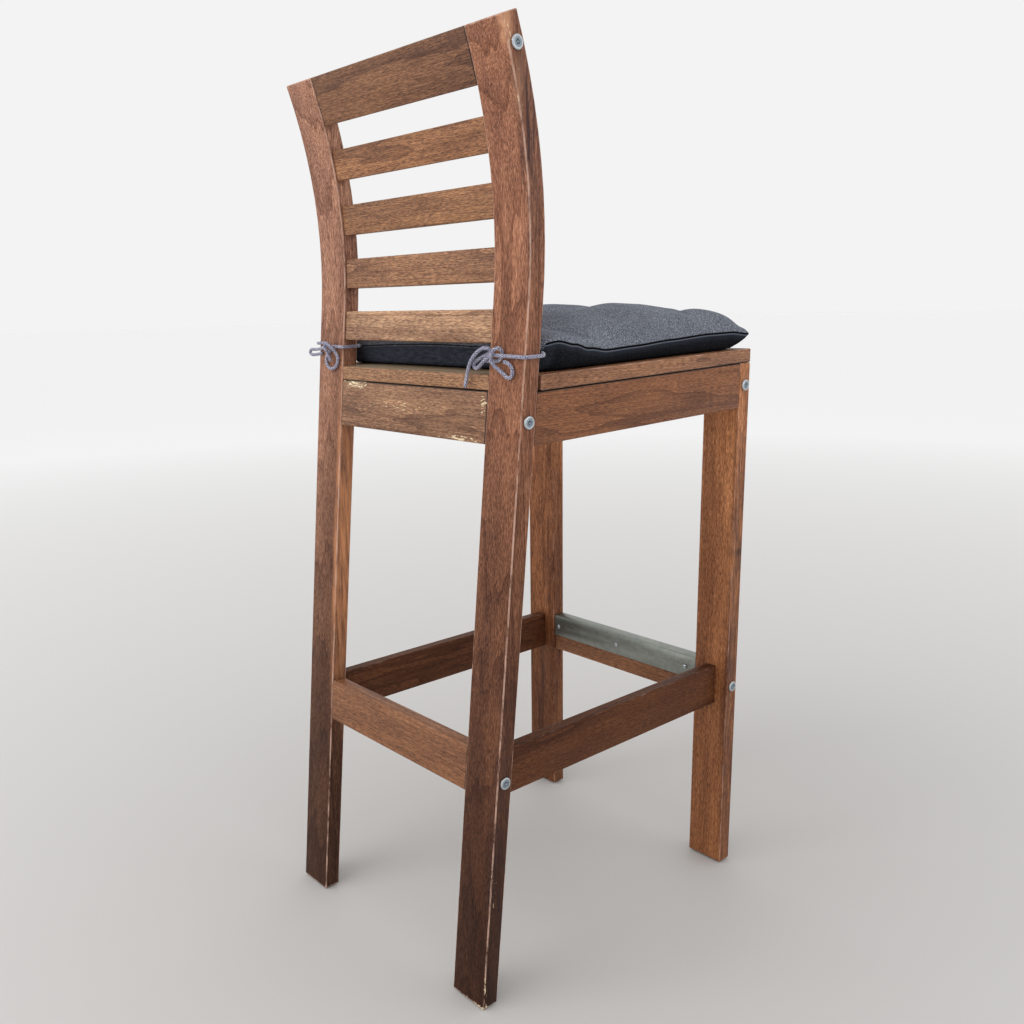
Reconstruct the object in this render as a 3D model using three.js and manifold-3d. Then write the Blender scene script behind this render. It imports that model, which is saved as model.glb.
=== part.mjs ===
// Bar stool with a slatted back, a footrest and a tied-on seat cushion.
// Millimetres. +Z is up, the sitter faces -Y, and the sitter's left is +X.
// The origin is on the floor, in the middle of the frame's footprint.
import * as THREE from "three";
import { mergeVertices } from "three/addons/utils/BufferGeometryUtils.js";
import Module from "manifold-3d";

const wasm = await Module();
wasm.setup();

// ---------------------------------------------------------------- driving dimensions
const WIDTH = 400; // over the outer faces of the posts and legs
const DEPTH = 492; // from the front legs' front face to the back of the rear feet
const STOCK = 22; // thickness of the posts and legs, front to back
const LEG_WIDTH = 56; // width of the posts and legs, side to side
const RAIL_THICKNESS = 20; // cross rails and aprons
const FIT = 0.4; // clearance between pieces that touch
const BORE_FIT = 0.3; // clearance round dowels, tenons, nuts and screws
const BOLT_FIT = 0.5; // clearance round the bolts
const RAIL_INSET = 0.5; // of the cross rails from the faces of the posts and legs
const GLIDE_HEIGHT = 2; // plastic glides under the feet

const SEAT_REAR_Z = 742.4; // top of the seat boards at their rear edge
const SEAT_TILT = THREE.MathUtils.degToRad(1.4); // the seat rises towards the front
const SEAT_THICKNESS = 17.5;
const SEAT_BOARDS = 7;
const SEAT_BOARD_WIDTH = 56;
const TONGUE = 8; // length of the seat boards' tongues, in grooves of the side boards
const TONGUE_THICKNESS = 6;
const TONGUE_SETBACK = 5; // from the boards' front and back edges
const GROOVE_STOP = 4; // the grooves start this far behind the side boards' front ends
const SIDE_BOARD_GAP = 4; // between the side boards and the rear posts
const SEAT_RAIL_HEIGHT = 58; // seat rails and side aprons

const POST_LEAN = THREE.MathUtils.degToRad(6); // rear posts lean forwards up to the seat
const BEND_START_Z = 820.4; // height at which the posts start to bend back
const BEND_RADIUS = 600; // of the posts' back face
const BEND_ANGLE = THREE.MathUtils.degToRad(26);
const BEND_STEPS = 10;

const TOP_RAIL_HEIGHT = 56;
const BACK_SLATS = 4;
const SLAT_HEIGHT = 36;
const SLAT_GAP = 29;
const SLAT_THICKNESS = 17;
const SLAT_INSET = 2.5; // from the posts' back face

const REAR_STRETCHER_Z = 259;
const REAR_STRETCHER_HEIGHT = 56;
const SIDE_STRETCHER_HEIGHT = 57;
const SIDE_STRETCHER_REAR_Z = 255;
const SIDE_STRETCHER_FRONT_Z = 251.5;
const SIDE_STRETCHER_THICKNESS = 16;
const SIDE_STRETCHER_INSET = 20; // from the legs' outer face
const FOOTREST_Z = 251;
const FOOTREST_HEIGHT = 57;
const FOOTREST_THICKNESS = 18;

const GUARD_THICKNESS = 1.5; // bent steel angle on the footrest
const GUARD_FLANGE = 34; // its height over the rail's rear face
const GUARD_SCREW_X = [-125, 8, 134];
const GUARD_SCREW_Z = 291.4;
const GUARD_SCREW_LENGTH = 16;
const GUARD_SCREW_RADIUS = 1.6;
const GUARD_SCREW_HEAD = 3.6;

const BOLT_LENGTH = 90;
const BOLT_RADIUS = 3;
const BOLT_HEAD_RADIUS = 7.5;
const BOLT_HEAD_HEIGHT = 2.6;
const SOCKET_RADIUS = 2.9; // over the corners of the hexagon
const SOCKET_DEPTH = 2;
const NUT_RADIUS = 5;
const NUT_LENGTH = 14;
const NUT_SETBACK = 25; // from the rail's end to the nut's middle
const DOWEL_RADIUS = 4;
const DOWEL_LENGTH = 14;
const DOWEL_OFFSET = 17; // from the rail's middle, up and down
const TENON_LENGTH = 13;
const TENON_THICKNESS = 9;
const TENON_SHOULDER = 5;

const CUSHION_HALF_X = 197;
const CUSHION_FRONT_Y = -243;
const CUSHION_REAR_Y = 137.5;
const CUSHION_RIM = 25; // seam height above the seat
const CUSHION_CROWN = 63; // highest point above the seat

const TIE_DIAMETER = 4.2;

const GLIDE_HALF_LENGTH = 14; // to the middle of its round ends
const GLIDE_END_RADIUS = 8;
const GLIDE_PEG_RADIUS = 2;
const GLIDE_PEG_LENGTH = 10;

// ---------------------------------------------------------------- derived places
const HALF_WIDTH = WIDTH / 2;
const INNER_X = HALF_WIDTH - LEG_WIDTH; // inner faces of the posts and legs
const FOOT_Y = DEPTH / 2; // back face of the rear posts at the floor
const LEG_FRONT_Y = -DEPTH / 2;
const LEG_BACK_Y = LEG_FRONT_Y + STOCK;
const FOOT_CUT_Z = GLIDE_HEIGHT + FIT; // underside of the posts and legs
const STRAIGHT = (BEND_START_Z - FOOT_CUT_Z) / Math.cos(POST_LEAN); // length of the posts' straight stretch
const POST_LENGTH = STRAIGHT + BEND_RADIUS * BEND_ANGLE;
const LEG_MIDDLE_Y = LEG_FRONT_Y + STOCK / 2;

// ---------------------------------------------------------------- materials
const wood = new THREE.MeshStandardMaterial({ color: 0x7a4f38, roughness: 0.62, metalness: 0 });
const galvanised = new THREE.MeshStandardMaterial({ color: 0x8d918c, roughness: 0.45, metalness: 0.9 });
const zinc = new THREE.MeshStandardMaterial({ color: 0xb9bdbf, roughness: 0.3, metalness: 1 });
const plastic = new THREE.MeshStandardMaterial({ color: 0x151515, roughness: 0.5, metalness: 0 });
const fabric = new THREE.MeshStandardMaterial({ color: 0x34383c, roughness: 0.95, metalness: 0 });
const tape = new THREE.MeshStandardMaterial({ color: 0x8f8da3, roughness: 0.9, metalness: 0 });

// ---------------------------------------------------------------- solids
const stool = new THREE.Group();

function solidFrom(geometry) {
  const bare = geometry.index ? geometry.toNonIndexed() : geometry.clone();
  bare.deleteAttribute("normal");
  bare.deleteAttribute("uv");
  const merged = mergeVertices(bare, 1e-4);
  return new wasm.Manifold(
    new wasm.Mesh({
      numProp: 3,
      vertProperties: new Float32Array(merged.attributes.position.array),
      triVerts: new Uint32Array(merged.index.array),
    }),
  );
}

function addPiece(name, solid, material) {
  const mesh = solid.getMesh();
  const geometry = new THREE.BufferGeometry();
  const positions = new THREE.BufferAttribute(new Float32Array(mesh.vertProperties), 3);
  geometry.setAttribute("position", positions);
  geometry.setIndex(new THREE.BufferAttribute(new Uint32Array(mesh.triVerts), 1));
  geometry.computeVertexNormals();
  const piece = new THREE.Mesh(geometry, material);
  piece.name = name;
  stool.add(piece);
}

// An outline of [y, z] points, anticlockwise seen from +X, extruded from x0 to x1.
function prism(outline, x0, x1) {
  const shape = new THREE.Shape(outline.map(([y, z]) => new THREE.Vector2(y, z)));
  const geometry = new THREE.ExtrudeGeometry(shape, { depth: x1 - x0, bevelEnabled: false });
  const intoFrame = new THREE.Matrix4().makeBasis(
    new THREE.Vector3(0, 1, 0),
    new THREE.Vector3(0, 0, 1),
    new THREE.Vector3(1, 0, 0),
  );
  geometry.applyMatrix4(intoFrame);
  geometry.translate(x0, 0, 0);
  return solidFrom(geometry);
}

// A round bar from one point to another.
function rod(start, end, radius, sides = 12) {
  const from = new THREE.Vector3(...start);
  const along = new THREE.Vector3(...end).sub(from);
  const geometry = new THREE.CylinderGeometry(radius, radius, along.length(), sides);
  const turn = new THREE.Quaternion().setFromUnitVectors(
    new THREE.Vector3(0, 1, 0),
    along.clone().normalize(),
  );
  geometry.applyQuaternion(turn);
  geometry.translate(...from.addScaledVector(along, 0.5).toArray());
  return solidFrom(geometry);
}

function joined(...solids) {
  return solids.flat().reduce((sum, solid) => sum.add(solid));
}

function without(solid, ...cuts) {
  return cuts.flat().reduce((rest, cut) => rest.subtract(cut), solid);
}

// Both sides of the stool: the sitter's left is side 1 and the right is side -1.
const SIDES = [
  ["left", 1],
  ["right", -1],
];

function across(side, a, b) {
  return side > 0 ? [a, b] : [-b, -a];
}

// ---------------------------------------------------------------- the rear posts' side view
// The post's back edge at a distance s along it from the floor, with its unit directions:
// "up" runs along the post and "back" points out of its back face.
function postStation(s) {
  if (s <= STRAIGHT) {
    return {
      y: FOOT_Y - s * Math.sin(POST_LEAN),
      z: FOOT_CUT_Z + s * Math.cos(POST_LEAN),
      up: [-Math.sin(POST_LEAN), Math.cos(POST_LEAN)],
      back: [Math.cos(POST_LEAN), Math.sin(POST_LEAN)],
    };
  }
  const angle = (s - STRAIGHT) / BEND_RADIUS - POST_LEAN;
  const startY = FOOT_Y - STRAIGHT * Math.sin(POST_LEAN);
  const centreY = startY + BEND_RADIUS * Math.cos(POST_LEAN);
  const centreZ = BEND_START_Z + BEND_RADIUS * Math.sin(POST_LEAN);
  return {
    y: centreY - BEND_RADIUS * Math.cos(angle),
    z: centreZ + BEND_RADIUS * Math.sin(angle),
    up: [Math.sin(angle), Math.cos(angle)],
    back: [Math.cos(angle), -Math.sin(angle)],
  };
}

// A [y, z] point at station s, a depth in from the post's back face and a rise along the post.
function inPost(s, depth, rise = 0) {
  const at = postStation(s);
  return [
    at.y - depth * at.back[0] + rise * at.up[0],
    at.z - depth * at.back[1] + rise * at.up[1],
  ];
}

// The rectangle of a slat or rail between two stations, and between two depths.
function postSection(low, high, backDepth, frontDepth) {
  const middle = (low + high) / 2;
  const half = (high - low) / 2;
  return [
    inPost(middle, backDepth, -half),
    inPost(middle, backDepth, half),
    inPost(middle, frontDepth, half),
    inPost(middle, frontDepth, -half),
  ];
}

// y of the post's front or back face at a height in its straight stretch.
function postFaceY(z, depth) {
  return FOOT_Y - (z - FOOT_CUT_Z) * Math.tan(POST_LEAN) - depth / Math.cos(POST_LEAN);
}

function stationAt(z) {
  return (z - FOOT_CUT_Z) / Math.cos(POST_LEAN);
}

// ---------------------------------------------------------------- the seat plane
const SEAT_REAR_Y = postFaceY(SEAT_REAR_Z - SEAT_THICKNESS / 2, 0);

function seatTop(y) {
  return SEAT_REAR_Z + (SEAT_REAR_Y - y) * Math.tan(SEAT_TILT);
}

// Top edge of the rails and aprons that carry the seat boards.
function seatRailTop(y) {
  return seatTop(y) - SEAT_THICKNESS - FIT;
}

// ---------------------------------------------------------------- joints
// Each bolted rail: its bolts' axis as a [y, z] point, its upward direction, and the side on
// which the holes of its barrel nuts open.
const topRailMiddle = POST_LENGTH - TOP_RAIL_HEIGHT / 2;
const seatBoltStation = stationAt(seatRailTop(SEAT_REAR_Y) - SEAT_RAIL_HEIGHT / 2 - 1);
const lowBoltStation = stationAt(REAR_STRETCHER_Z + REAR_STRETCHER_HEIGHT / 2 - 1.5);
const frontRailTop = seatRailTop(LEG_MIDDLE_Y);
const frontSeatBolt = [LEG_MIDDLE_Y, frontRailTop - SEAT_RAIL_HEIGHT / 2];
const footrestBolt = [LEG_MIDDLE_Y, FOOTREST_Z + FOOTREST_HEIGHT / 2];

const boltedJoints = {
  top_rail: {
    axis: inPost(topRailMiddle, STOCK / 2),
    up: postStation(topRailMiddle).up,
    nutsOpen: "down",
  },
  rear_seat_rail: {
    axis: inPost(seatBoltStation, STOCK / 2),
    up: postStation(seatBoltStation).up,
    nutsOpen: "forward",
  },
  rear_stretcher: {
    axis: inPost(lowBoltStation, STOCK / 2),
    up: postStation(lowBoltStation).up,
    nutsOpen: "forward",
  },
  front_seat_rail: { axis: frontSeatBolt, up: [0, 1], nutsOpen: "back" },
  footrest_rail: { axis: footrestBolt, up: [0, 1], nutsOpen: "down" },
};

// A [y, z] point moved by a distance along a [y, z] direction.
function shifted([y, z], [dy, dz], distance) {
  return [y + dy * distance, z + dz * distance];
}

// The direction in which the holes of a rail's barrel nuts open.
function nutMouth({ up, nutsOpen }) {
  if (nutsOpen === "down") return [-up[0], -up[1]];
  return nutsOpen === "forward" ? [-up[1], up[0]] : [up[1], -up[0]];
}

// The bolt hole through a post or leg, with the bores for the rail's two dowels.
function jointBores(joint, side) {
  const bolt = rod(
    [side * (INNER_X - 1), ...joint.axis],
    [side * (HALF_WIDTH + 1), ...joint.axis],
    BOLT_RADIUS + BOLT_FIT,
  );
  const dowels = [-1, 1].map((sign) => {
    const at = shifted(joint.axis, joint.up, sign * DOWEL_OFFSET);
    const end = side * (INNER_X + DOWEL_LENGTH + 1);
    return rod([side * (INNER_X - 1), ...at], [end, ...at], DOWEL_RADIUS + BORE_FIT, 10);
  });
  return [bolt, ...dowels];
}

// A bolted cross rail: its section between the posts, with dowels glued into its ends,
// and at each end a bolt hole and the hole of a barrel nut.
function crossRail(section, joint) {
  const end = INNER_X - FIT;
  const mouth = nutMouth(joint);
  const adds = [];
  const cuts = [];
  for (const [, side] of SIDES) {
    for (const sign of [-1, 1]) {
      const at = shifted(joint.axis, joint.up, sign * DOWEL_OFFSET);
      const tip = side * (INNER_X + DOWEL_LENGTH);
      adds.push(rod([side * (end - 2), ...at], [tip, ...at], DOWEL_RADIUS, 10));
    }
    const nutX = side * (INNER_X - NUT_SETBACK);
    const deep = shifted(joint.axis, mouth, -NUT_LENGTH / 2 - FIT);
    const open = shifted(joint.axis, mouth, LEG_WIDTH);
    cuts.push(rod([nutX, ...deep], [nutX, ...open], NUT_RADIUS + BORE_FIT, 14));
    const boltEnd = side * (HALF_WIDTH - BOLT_LENGTH - 3);
    cuts.push(rod([side * (end + 1), ...joint.axis], [boltEnd, ...joint.axis], BOLT_RADIUS + BOLT_FIT));
  }
  return without(joined(prism(section, -end, end), adds), cuts);
}

// Dowels on the ends of the side aprons and side stretchers, along Y.
function sideDowels(x, middleFront, middleRear, extra) {
  const rods = [];
  for (const sign of [-1, 1]) {
    const frontZ = middleFront + sign * DOWEL_OFFSET;
    const rearZ = middleRear + sign * DOWEL_OFFSET;
    const rearY = postFaceY(rearZ, STOCK);
    const radius = DOWEL_RADIUS + extra;
    const reach = DOWEL_LENGTH + 2 * extra;
    rods.push(rod([x, LEG_BACK_Y + 4, frontZ], [x, LEG_BACK_Y - reach, frontZ], radius, 10));
    rods.push(rod([x, rearY - 4, rearZ], [x, rearY + reach, rearZ], radius, 10));
  }
  return rods;
}

const apronX = HALF_WIDTH - RAIL_THICKNESS / 2;
const stretcherX = HALF_WIDTH - SIDE_STRETCHER_INSET - SIDE_STRETCHER_THICKNESS / 2;
const apronMiddleFront = seatRailTop(LEG_BACK_Y) - SEAT_RAIL_HEIGHT / 2;
const apronRearY = postFaceY(SEAT_REAR_Z - SEAT_THICKNESS, STOCK);
const apronMiddleRear = seatRailTop(apronRearY) - SEAT_RAIL_HEIGHT / 2;
const stretcherMiddleFront = SIDE_STRETCHER_FRONT_Z + SIDE_STRETCHER_HEIGHT / 2;
const stretcherMiddleRear = SIDE_STRETCHER_REAR_Z + SIDE_STRETCHER_HEIGHT / 2;

function sideFrameBores(side) {
  return [
    ...sideDowels(side * apronX, apronMiddleFront, apronMiddleRear, BORE_FIT),
    ...sideDowels(side * stretcherX, stretcherMiddleFront, stretcherMiddleRear, BORE_FIT),
  ];
}

// ---------------------------------------------------------------- posts and legs
const slatStations = [];
for (let i = 0; i < BACK_SLATS; i++) {
  const high = POST_LENGTH - TOP_RAIL_HEIGHT - SLAT_GAP - i * (SLAT_HEIGHT + SLAT_GAP);
  slatStations.push({ low: high - SLAT_HEIGHT, high });
}

function slatTenon({ low, high }, side, extra) {
  const middle = SLAT_INSET + SLAT_THICKNESS / 2;
  const section = postSection(
    low + TENON_SHOULDER - extra,
    high - TENON_SHOULDER + extra,
    middle - TENON_THICKNESS / 2 - extra,
    middle + TENON_THICKNESS / 2 + extra,
  );
  const reach = INNER_X + TENON_LENGTH + 2 * extra;
  return prism(section, ...across(side, INNER_X - 2, reach));
}

const glidePegs = [-GLIDE_HALF_LENGTH, GLIDE_HALF_LENGTH];

function glideBores(side, y) {
  return glidePegs.map((dx) => {
    const x = side * (HALF_WIDTH - LEG_WIDTH / 2) + dx;
    const deep = FOOT_CUT_Z + GLIDE_PEG_LENGTH + 1;
    return rod([x, y, FOOT_CUT_Z - 1], [x, y, deep], GLIDE_PEG_RADIUS + BORE_FIT, 10);
  });
}

const rearFootY = postFaceY(FOOT_CUT_Z, STOCK / 2);

function postOutline() {
  const stations = [STRAIGHT];
  for (let i = 1; i <= BEND_STEPS; i++) {
    stations.push(STRAIGHT + (BEND_RADIUS * BEND_ANGLE * i) / BEND_STEPS);
  }
  const backEdge = stations.map((s) => inPost(s, 0));
  const frontEdge = stations.map((s) => inPost(s, STOCK)).reverse();
  return [
    [postFaceY(FOOT_CUT_Z, 0), FOOT_CUT_Z],
    ...backEdge,
    ...frontEdge,
    [postFaceY(FOOT_CUT_Z, STOCK), FOOT_CUT_Z],
  ];
}

function rearPost(side) {
  const rails = ["top_rail", "rear_seat_rail", "rear_stretcher"];
  return without(
    prism(postOutline(), ...across(side, INNER_X, HALF_WIDTH)),
    rails.flatMap((rail) => jointBores(boltedJoints[rail], side)),
    slatStations.map((slat) => slatTenon(slat, side, BORE_FIT)),
    sideFrameBores(side),
    glideBores(side, rearFootY),
  );
}

function frontLeg(side) {
  const outline = [
    [LEG_FRONT_Y, FOOT_CUT_Z],
    [LEG_BACK_Y, FOOT_CUT_Z],
    [LEG_BACK_Y, seatRailTop(LEG_BACK_Y)],
    [LEG_FRONT_Y, seatRailTop(LEG_FRONT_Y)],
  ];
  const rails = ["front_seat_rail", "footrest_rail"];
  return without(
    prism(outline, ...across(side, INNER_X, HALF_WIDTH)),
    rails.flatMap((rail) => jointBores(boltedJoints[rail], side)),
    sideFrameBores(side),
    glideBores(side, LEG_MIDDLE_Y),
  );
}

for (const [name, side] of SIDES) {
  addPiece(name + "_rear_post", rearPost(side), wood);
  addPiece(name + "_front_leg", frontLeg(side), wood);
}

// ---------------------------------------------------------------- side aprons and stretchers
function sideApron(side) {
  const frontY = LEG_BACK_Y + FIT;
  const rearTopZ = seatRailTop(apronRearY);
  const rearTopY = postFaceY(rearTopZ, STOCK) - FIT;
  const rearBottomY = postFaceY(rearTopZ - SEAT_RAIL_HEIGHT, STOCK) - FIT;
  const outline = [
    [frontY, seatRailTop(frontY) - SEAT_RAIL_HEIGHT],
    [rearBottomY, seatRailTop(rearBottomY) - SEAT_RAIL_HEIGHT],
    [rearTopY, seatRailTop(rearTopY)],
    [frontY, seatRailTop(frontY)],
  ];
  const body = prism(outline, ...across(side, HALF_WIDTH - RAIL_THICKNESS, HALF_WIDTH));
  return joined(body, sideDowels(side * apronX, apronMiddleFront, apronMiddleRear, 0));
}

function sideStretcher(side) {
  const frontY = LEG_BACK_Y + FIT;
  const rearTopZ = SIDE_STRETCHER_REAR_Z + SIDE_STRETCHER_HEIGHT;
  const outline = [
    [frontY, SIDE_STRETCHER_FRONT_Z],
    [postFaceY(SIDE_STRETCHER_REAR_Z, STOCK) - FIT, SIDE_STRETCHER_REAR_Z],
    [postFaceY(rearTopZ, STOCK) - FIT, rearTopZ],
    [frontY, SIDE_STRETCHER_FRONT_Z + SIDE_STRETCHER_HEIGHT],
  ];
  const outer = HALF_WIDTH - SIDE_STRETCHER_INSET;
  const body = prism(outline, ...across(side, outer - SIDE_STRETCHER_THICKNESS, outer));
  return joined(body, sideDowels(side * stretcherX, stretcherMiddleFront, stretcherMiddleRear, 0));
}

for (const [name, side] of SIDES) {
  addPiece(name + "_side_apron", sideApron(side), wood);
  addPiece(name + "_side_stretcher", sideStretcher(side), wood);
}

// ---------------------------------------------------------------- backrest
const topRailLow = POST_LENGTH - TOP_RAIL_HEIGHT;
const topRailSection = postSection(topRailLow, POST_LENGTH, RAIL_INSET, STOCK - 2 * RAIL_INSET);
addPiece("top_rail", crossRail(topRailSection, boltedJoints.top_rail), wood);

slatStations.forEach((slat, i) => {
  const end = INNER_X - FIT;
  const section = postSection(slat.low, slat.high, SLAT_INSET, SLAT_INSET + SLAT_THICKNESS);
  const tenons = SIDES.map(([, side]) => slatTenon(slat, side, 0));
  addPiece("back_slat_" + (i + 1), joined(prism(section, -end, end), tenons), wood);
});

// ---------------------------------------------------------------- cross rails
function rearSeatRailSection() {
  const low = stationAt(seatRailTop(SEAT_REAR_Y) - SEAT_RAIL_HEIGHT);
  const [backY, backZ] = inPost(low, RAIL_INSET);
  const [frontY, frontZ] = inPost(low, RAIL_INSET + RAIL_THICKNESS);
  const topBackY = postFaceY(seatRailTop(SEAT_REAR_Y), RAIL_INSET);
  const topFrontY = topBackY - RAIL_THICKNESS / Math.cos(POST_LEAN);
  return [
    [backY, backZ],
    [topBackY, seatRailTop(topBackY)],
    [topFrontY, seatRailTop(topFrontY)],
    [frontY, frontZ],
  ];
}

function rearStretcherSection() {
  const low = stationAt(REAR_STRETCHER_Z);
  return postSection(low, low + REAR_STRETCHER_HEIGHT, RAIL_INSET, RAIL_INSET + RAIL_THICKNESS);
}

function frontSeatRailSection() {
  const frontY = LEG_FRONT_Y + RAIL_INSET;
  const backY = frontY + RAIL_THICKNESS;
  return [
    [frontY, frontRailTop - SEAT_RAIL_HEIGHT],
    [backY, frontRailTop - SEAT_RAIL_HEIGHT],
    [backY, seatRailTop(backY)],
    [frontY, seatRailTop(frontY)],
  ];
}

const footrestFrontY = LEG_FRONT_Y + RAIL_INSET;
const footrestBackY = footrestFrontY + FOOTREST_THICKNESS;
const footrestTopZ = FOOTREST_Z + FOOTREST_HEIGHT;

function footrestSection() {
  return [
    [footrestFrontY, FOOTREST_Z],
    [footrestBackY, FOOTREST_Z],
    [footrestBackY, footrestTopZ],
    [footrestFrontY, footrestTopZ],
  ];
}

function guardScrewBore(x, radius) {
  const deep = [x, footrestBackY - GUARD_SCREW_LENGTH + 1.5, GUARD_SCREW_Z];
  return rod(deep, [x, footrestBackY + 4, GUARD_SCREW_Z], radius, 10);
}

addPiece("rear_seat_rail", crossRail(rearSeatRailSection(), boltedJoints.rear_seat_rail), wood);
addPiece("rear_stretcher", crossRail(rearStretcherSection(), boltedJoints.rear_stretcher), wood);
addPiece("front_seat_rail", crossRail(frontSeatRailSection(), boltedJoints.front_seat_rail), wood);
addPiece(
  "footrest_rail",
  without(
    crossRail(footrestSection(), boltedJoints.footrest_rail),
    GUARD_SCREW_X.map((x) => guardScrewBore(x, GUARD_SCREW_RADIUS + BORE_FIT)),
  ),
  wood,
);

// ---------------------------------------------------------------- footrest guard
function footrestGuard() {
  const clear = BORE_FIT;
  const topZ = footrestTopZ + clear + GUARD_THICKNESS;
  const backY = footrestBackY + clear + GUARD_THICKNESS;
  const outline = [
    [footrestFrontY, footrestTopZ + clear],
    [footrestBackY + clear, footrestTopZ + clear],
    [footrestBackY + clear, topZ - GUARD_FLANGE],
    [backY, topZ - GUARD_FLANGE],
    [backY, topZ - 1],
    [backY - 1, topZ],
    [footrestFrontY, topZ],
  ];
  const holes = GUARD_SCREW_X.map((x) => guardScrewBore(x, GUARD_SCREW_RADIUS + 0.7));
  return without(prism(outline, -INNER_X + 1, INNER_X - 1), holes);
}

// A pan-head screw in the guard's rear flange. Its profile is drawn along its axis.
function guardScrew(x) {
  const profile = [
    [0, -GUARD_SCREW_LENGTH],
    [GUARD_SCREW_RADIUS, -GUARD_SCREW_LENGTH + 2],
    [GUARD_SCREW_RADIUS, 0],
    [GUARD_SCREW_HEAD, 0],
    [GUARD_SCREW_HEAD, 0.7],
    [GUARD_SCREW_HEAD - 1, 1.6],
    [0, 2],
  ].map(([r, h]) => new THREE.Vector2(r, h));
  const body = solidFrom(new THREE.LatheGeometry(profile, 12));
  const slots = [0, Math.PI / 2].map((turn) => {
    const slot = new THREE.BoxGeometry(4, 1.6, 0.8);
    slot.rotateY(turn + Math.PI / 4);
    slot.translate(0, 1.9, 0);
    return solidFrom(slot);
  });
  const seat = footrestBackY + 2 * BORE_FIT + GUARD_THICKNESS;
  return without(body, slots).translate([x, seat, GUARD_SCREW_Z]);
}

addPiece("footrest_guard", footrestGuard(), galvanised);
GUARD_SCREW_X.forEach((x, i) => addPiece("guard_screw_" + (i + 1), guardScrew(x), zinc));

// ---------------------------------------------------------------- seat boards
// A board of the tilted seat between two y places and two x places.
function seatBoard(frontY, backY, x0, x1, topDrop = 0, thickness = SEAT_THICKNESS) {
  const outline = [
    [frontY, seatTop(frontY) - topDrop - thickness],
    [backY, seatTop(backY) - topDrop - thickness],
    [backY, seatTop(backY) - topDrop],
    [frontY, seatTop(frontY) - topDrop],
  ];
  return prism(outline, x0, x1);
}

const sideBoardRearY = postFaceY(SEAT_REAR_Z, STOCK) - SIDE_BOARD_GAP;
const tongueDrop = (SEAT_THICKNESS - TONGUE_THICKNESS) / 2;

function seatSideBoard(side) {
  const board = seatBoard(LEG_FRONT_Y, sideBoardRearY, ...across(side, INNER_X, HALF_WIDTH));
  const groove = seatBoard(
    LEG_FRONT_Y + GROOVE_STOP,
    sideBoardRearY + 1,
    ...across(side, INNER_X - 1, INNER_X + TONGUE + 0.5),
    tongueDrop - BORE_FIT,
    TONGUE_THICKNESS + 2 * BORE_FIT,
  );
  return without(board, groove);
}

function seatSlat(frontY, backY) {
  const end = INNER_X - FIT;
  const tongueFrontY = frontY + TONGUE_SETBACK;
  const tongueBackY = Math.min(backY - TONGUE_SETBACK, sideBoardRearY - 2);
  const reach = INNER_X + TONGUE;
  const tongue = seatBoard(tongueFrontY, tongueBackY, -reach, reach, tongueDrop, TONGUE_THICKNESS);
  return joined(seatBoard(frontY, backY, -end, end), tongue);
}

for (const [name, side] of SIDES) {
  addPiece(name + "_seat_side_board", seatSideBoard(side), wood);
}
const slatRearY = SEAT_REAR_Y - 0.5;
const slatGap = (slatRearY - LEG_FRONT_Y - SEAT_BOARDS * SEAT_BOARD_WIDTH) / (SEAT_BOARDS - 1);
for (let i = 0; i < SEAT_BOARDS; i++) {
  const frontY = LEG_FRONT_Y + i * (SEAT_BOARD_WIDTH + slatGap);
  addPiece("seat_slat_" + (i + 1), seatSlat(frontY, frontY + SEAT_BOARD_WIDTH), wood);
}

// ---------------------------------------------------------------- bolts and barrel nuts
// A furniture bolt with a low domed head and a hexagon socket. Its profile is drawn along its axis.
function bolt(side, [y, z]) {
  const profile = [
    [0, -BOLT_LENGTH],
    [BOLT_RADIUS - 0.8, -BOLT_LENGTH],
    [BOLT_RADIUS, -BOLT_LENGTH + 1],
    [BOLT_RADIUS, 0],
    [BOLT_HEAD_RADIUS, 0],
    [BOLT_HEAD_RADIUS, 0.9],
    [BOLT_HEAD_RADIUS - 1.2, 1.9],
    [BOLT_HEAD_RADIUS - 3, BOLT_HEAD_HEIGHT],
    [0, BOLT_HEAD_HEIGHT],
  ].map(([r, h]) => new THREE.Vector2(r, h));
  const body = solidFrom(new THREE.LatheGeometry(profile, 16));
  const socket = new THREE.CylinderGeometry(SOCKET_RADIUS, SOCKET_RADIUS, 2 * SOCKET_DEPTH, 6);
  socket.translate(0, BOLT_HEAD_HEIGHT, 0);
  const seat = HALF_WIDTH + BORE_FIT;
  return without(body, solidFrom(socket))
    .rotate([0, 0, side > 0 ? -90 : 90])
    .translate([side * seat, y, z]);
}

function barrelNut(side, joint) {
  const x = side * (INNER_X - NUT_SETBACK);
  const along = nutMouth(joint);
  const start = shifted(joint.axis, along, -NUT_LENGTH / 2);
  const end = shifted(joint.axis, along, NUT_LENGTH / 2);
  const thread = rod([x - 8, ...joint.axis], [x + 8, ...joint.axis], BOLT_RADIUS + BORE_FIT);
  return without(rod([x, ...start], [x, ...end], NUT_RADIUS, 14), thread);
}

for (const [rail, joint] of Object.entries(boltedJoints)) {
  for (const [name, side] of SIDES) {
    addPiece(rail + "_bolt_" + name, bolt(side, joint.axis), zinc);
    addPiece(rail + "_barrel_nut_" + name, barrelNut(side, joint), zinc);
  }
}

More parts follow.
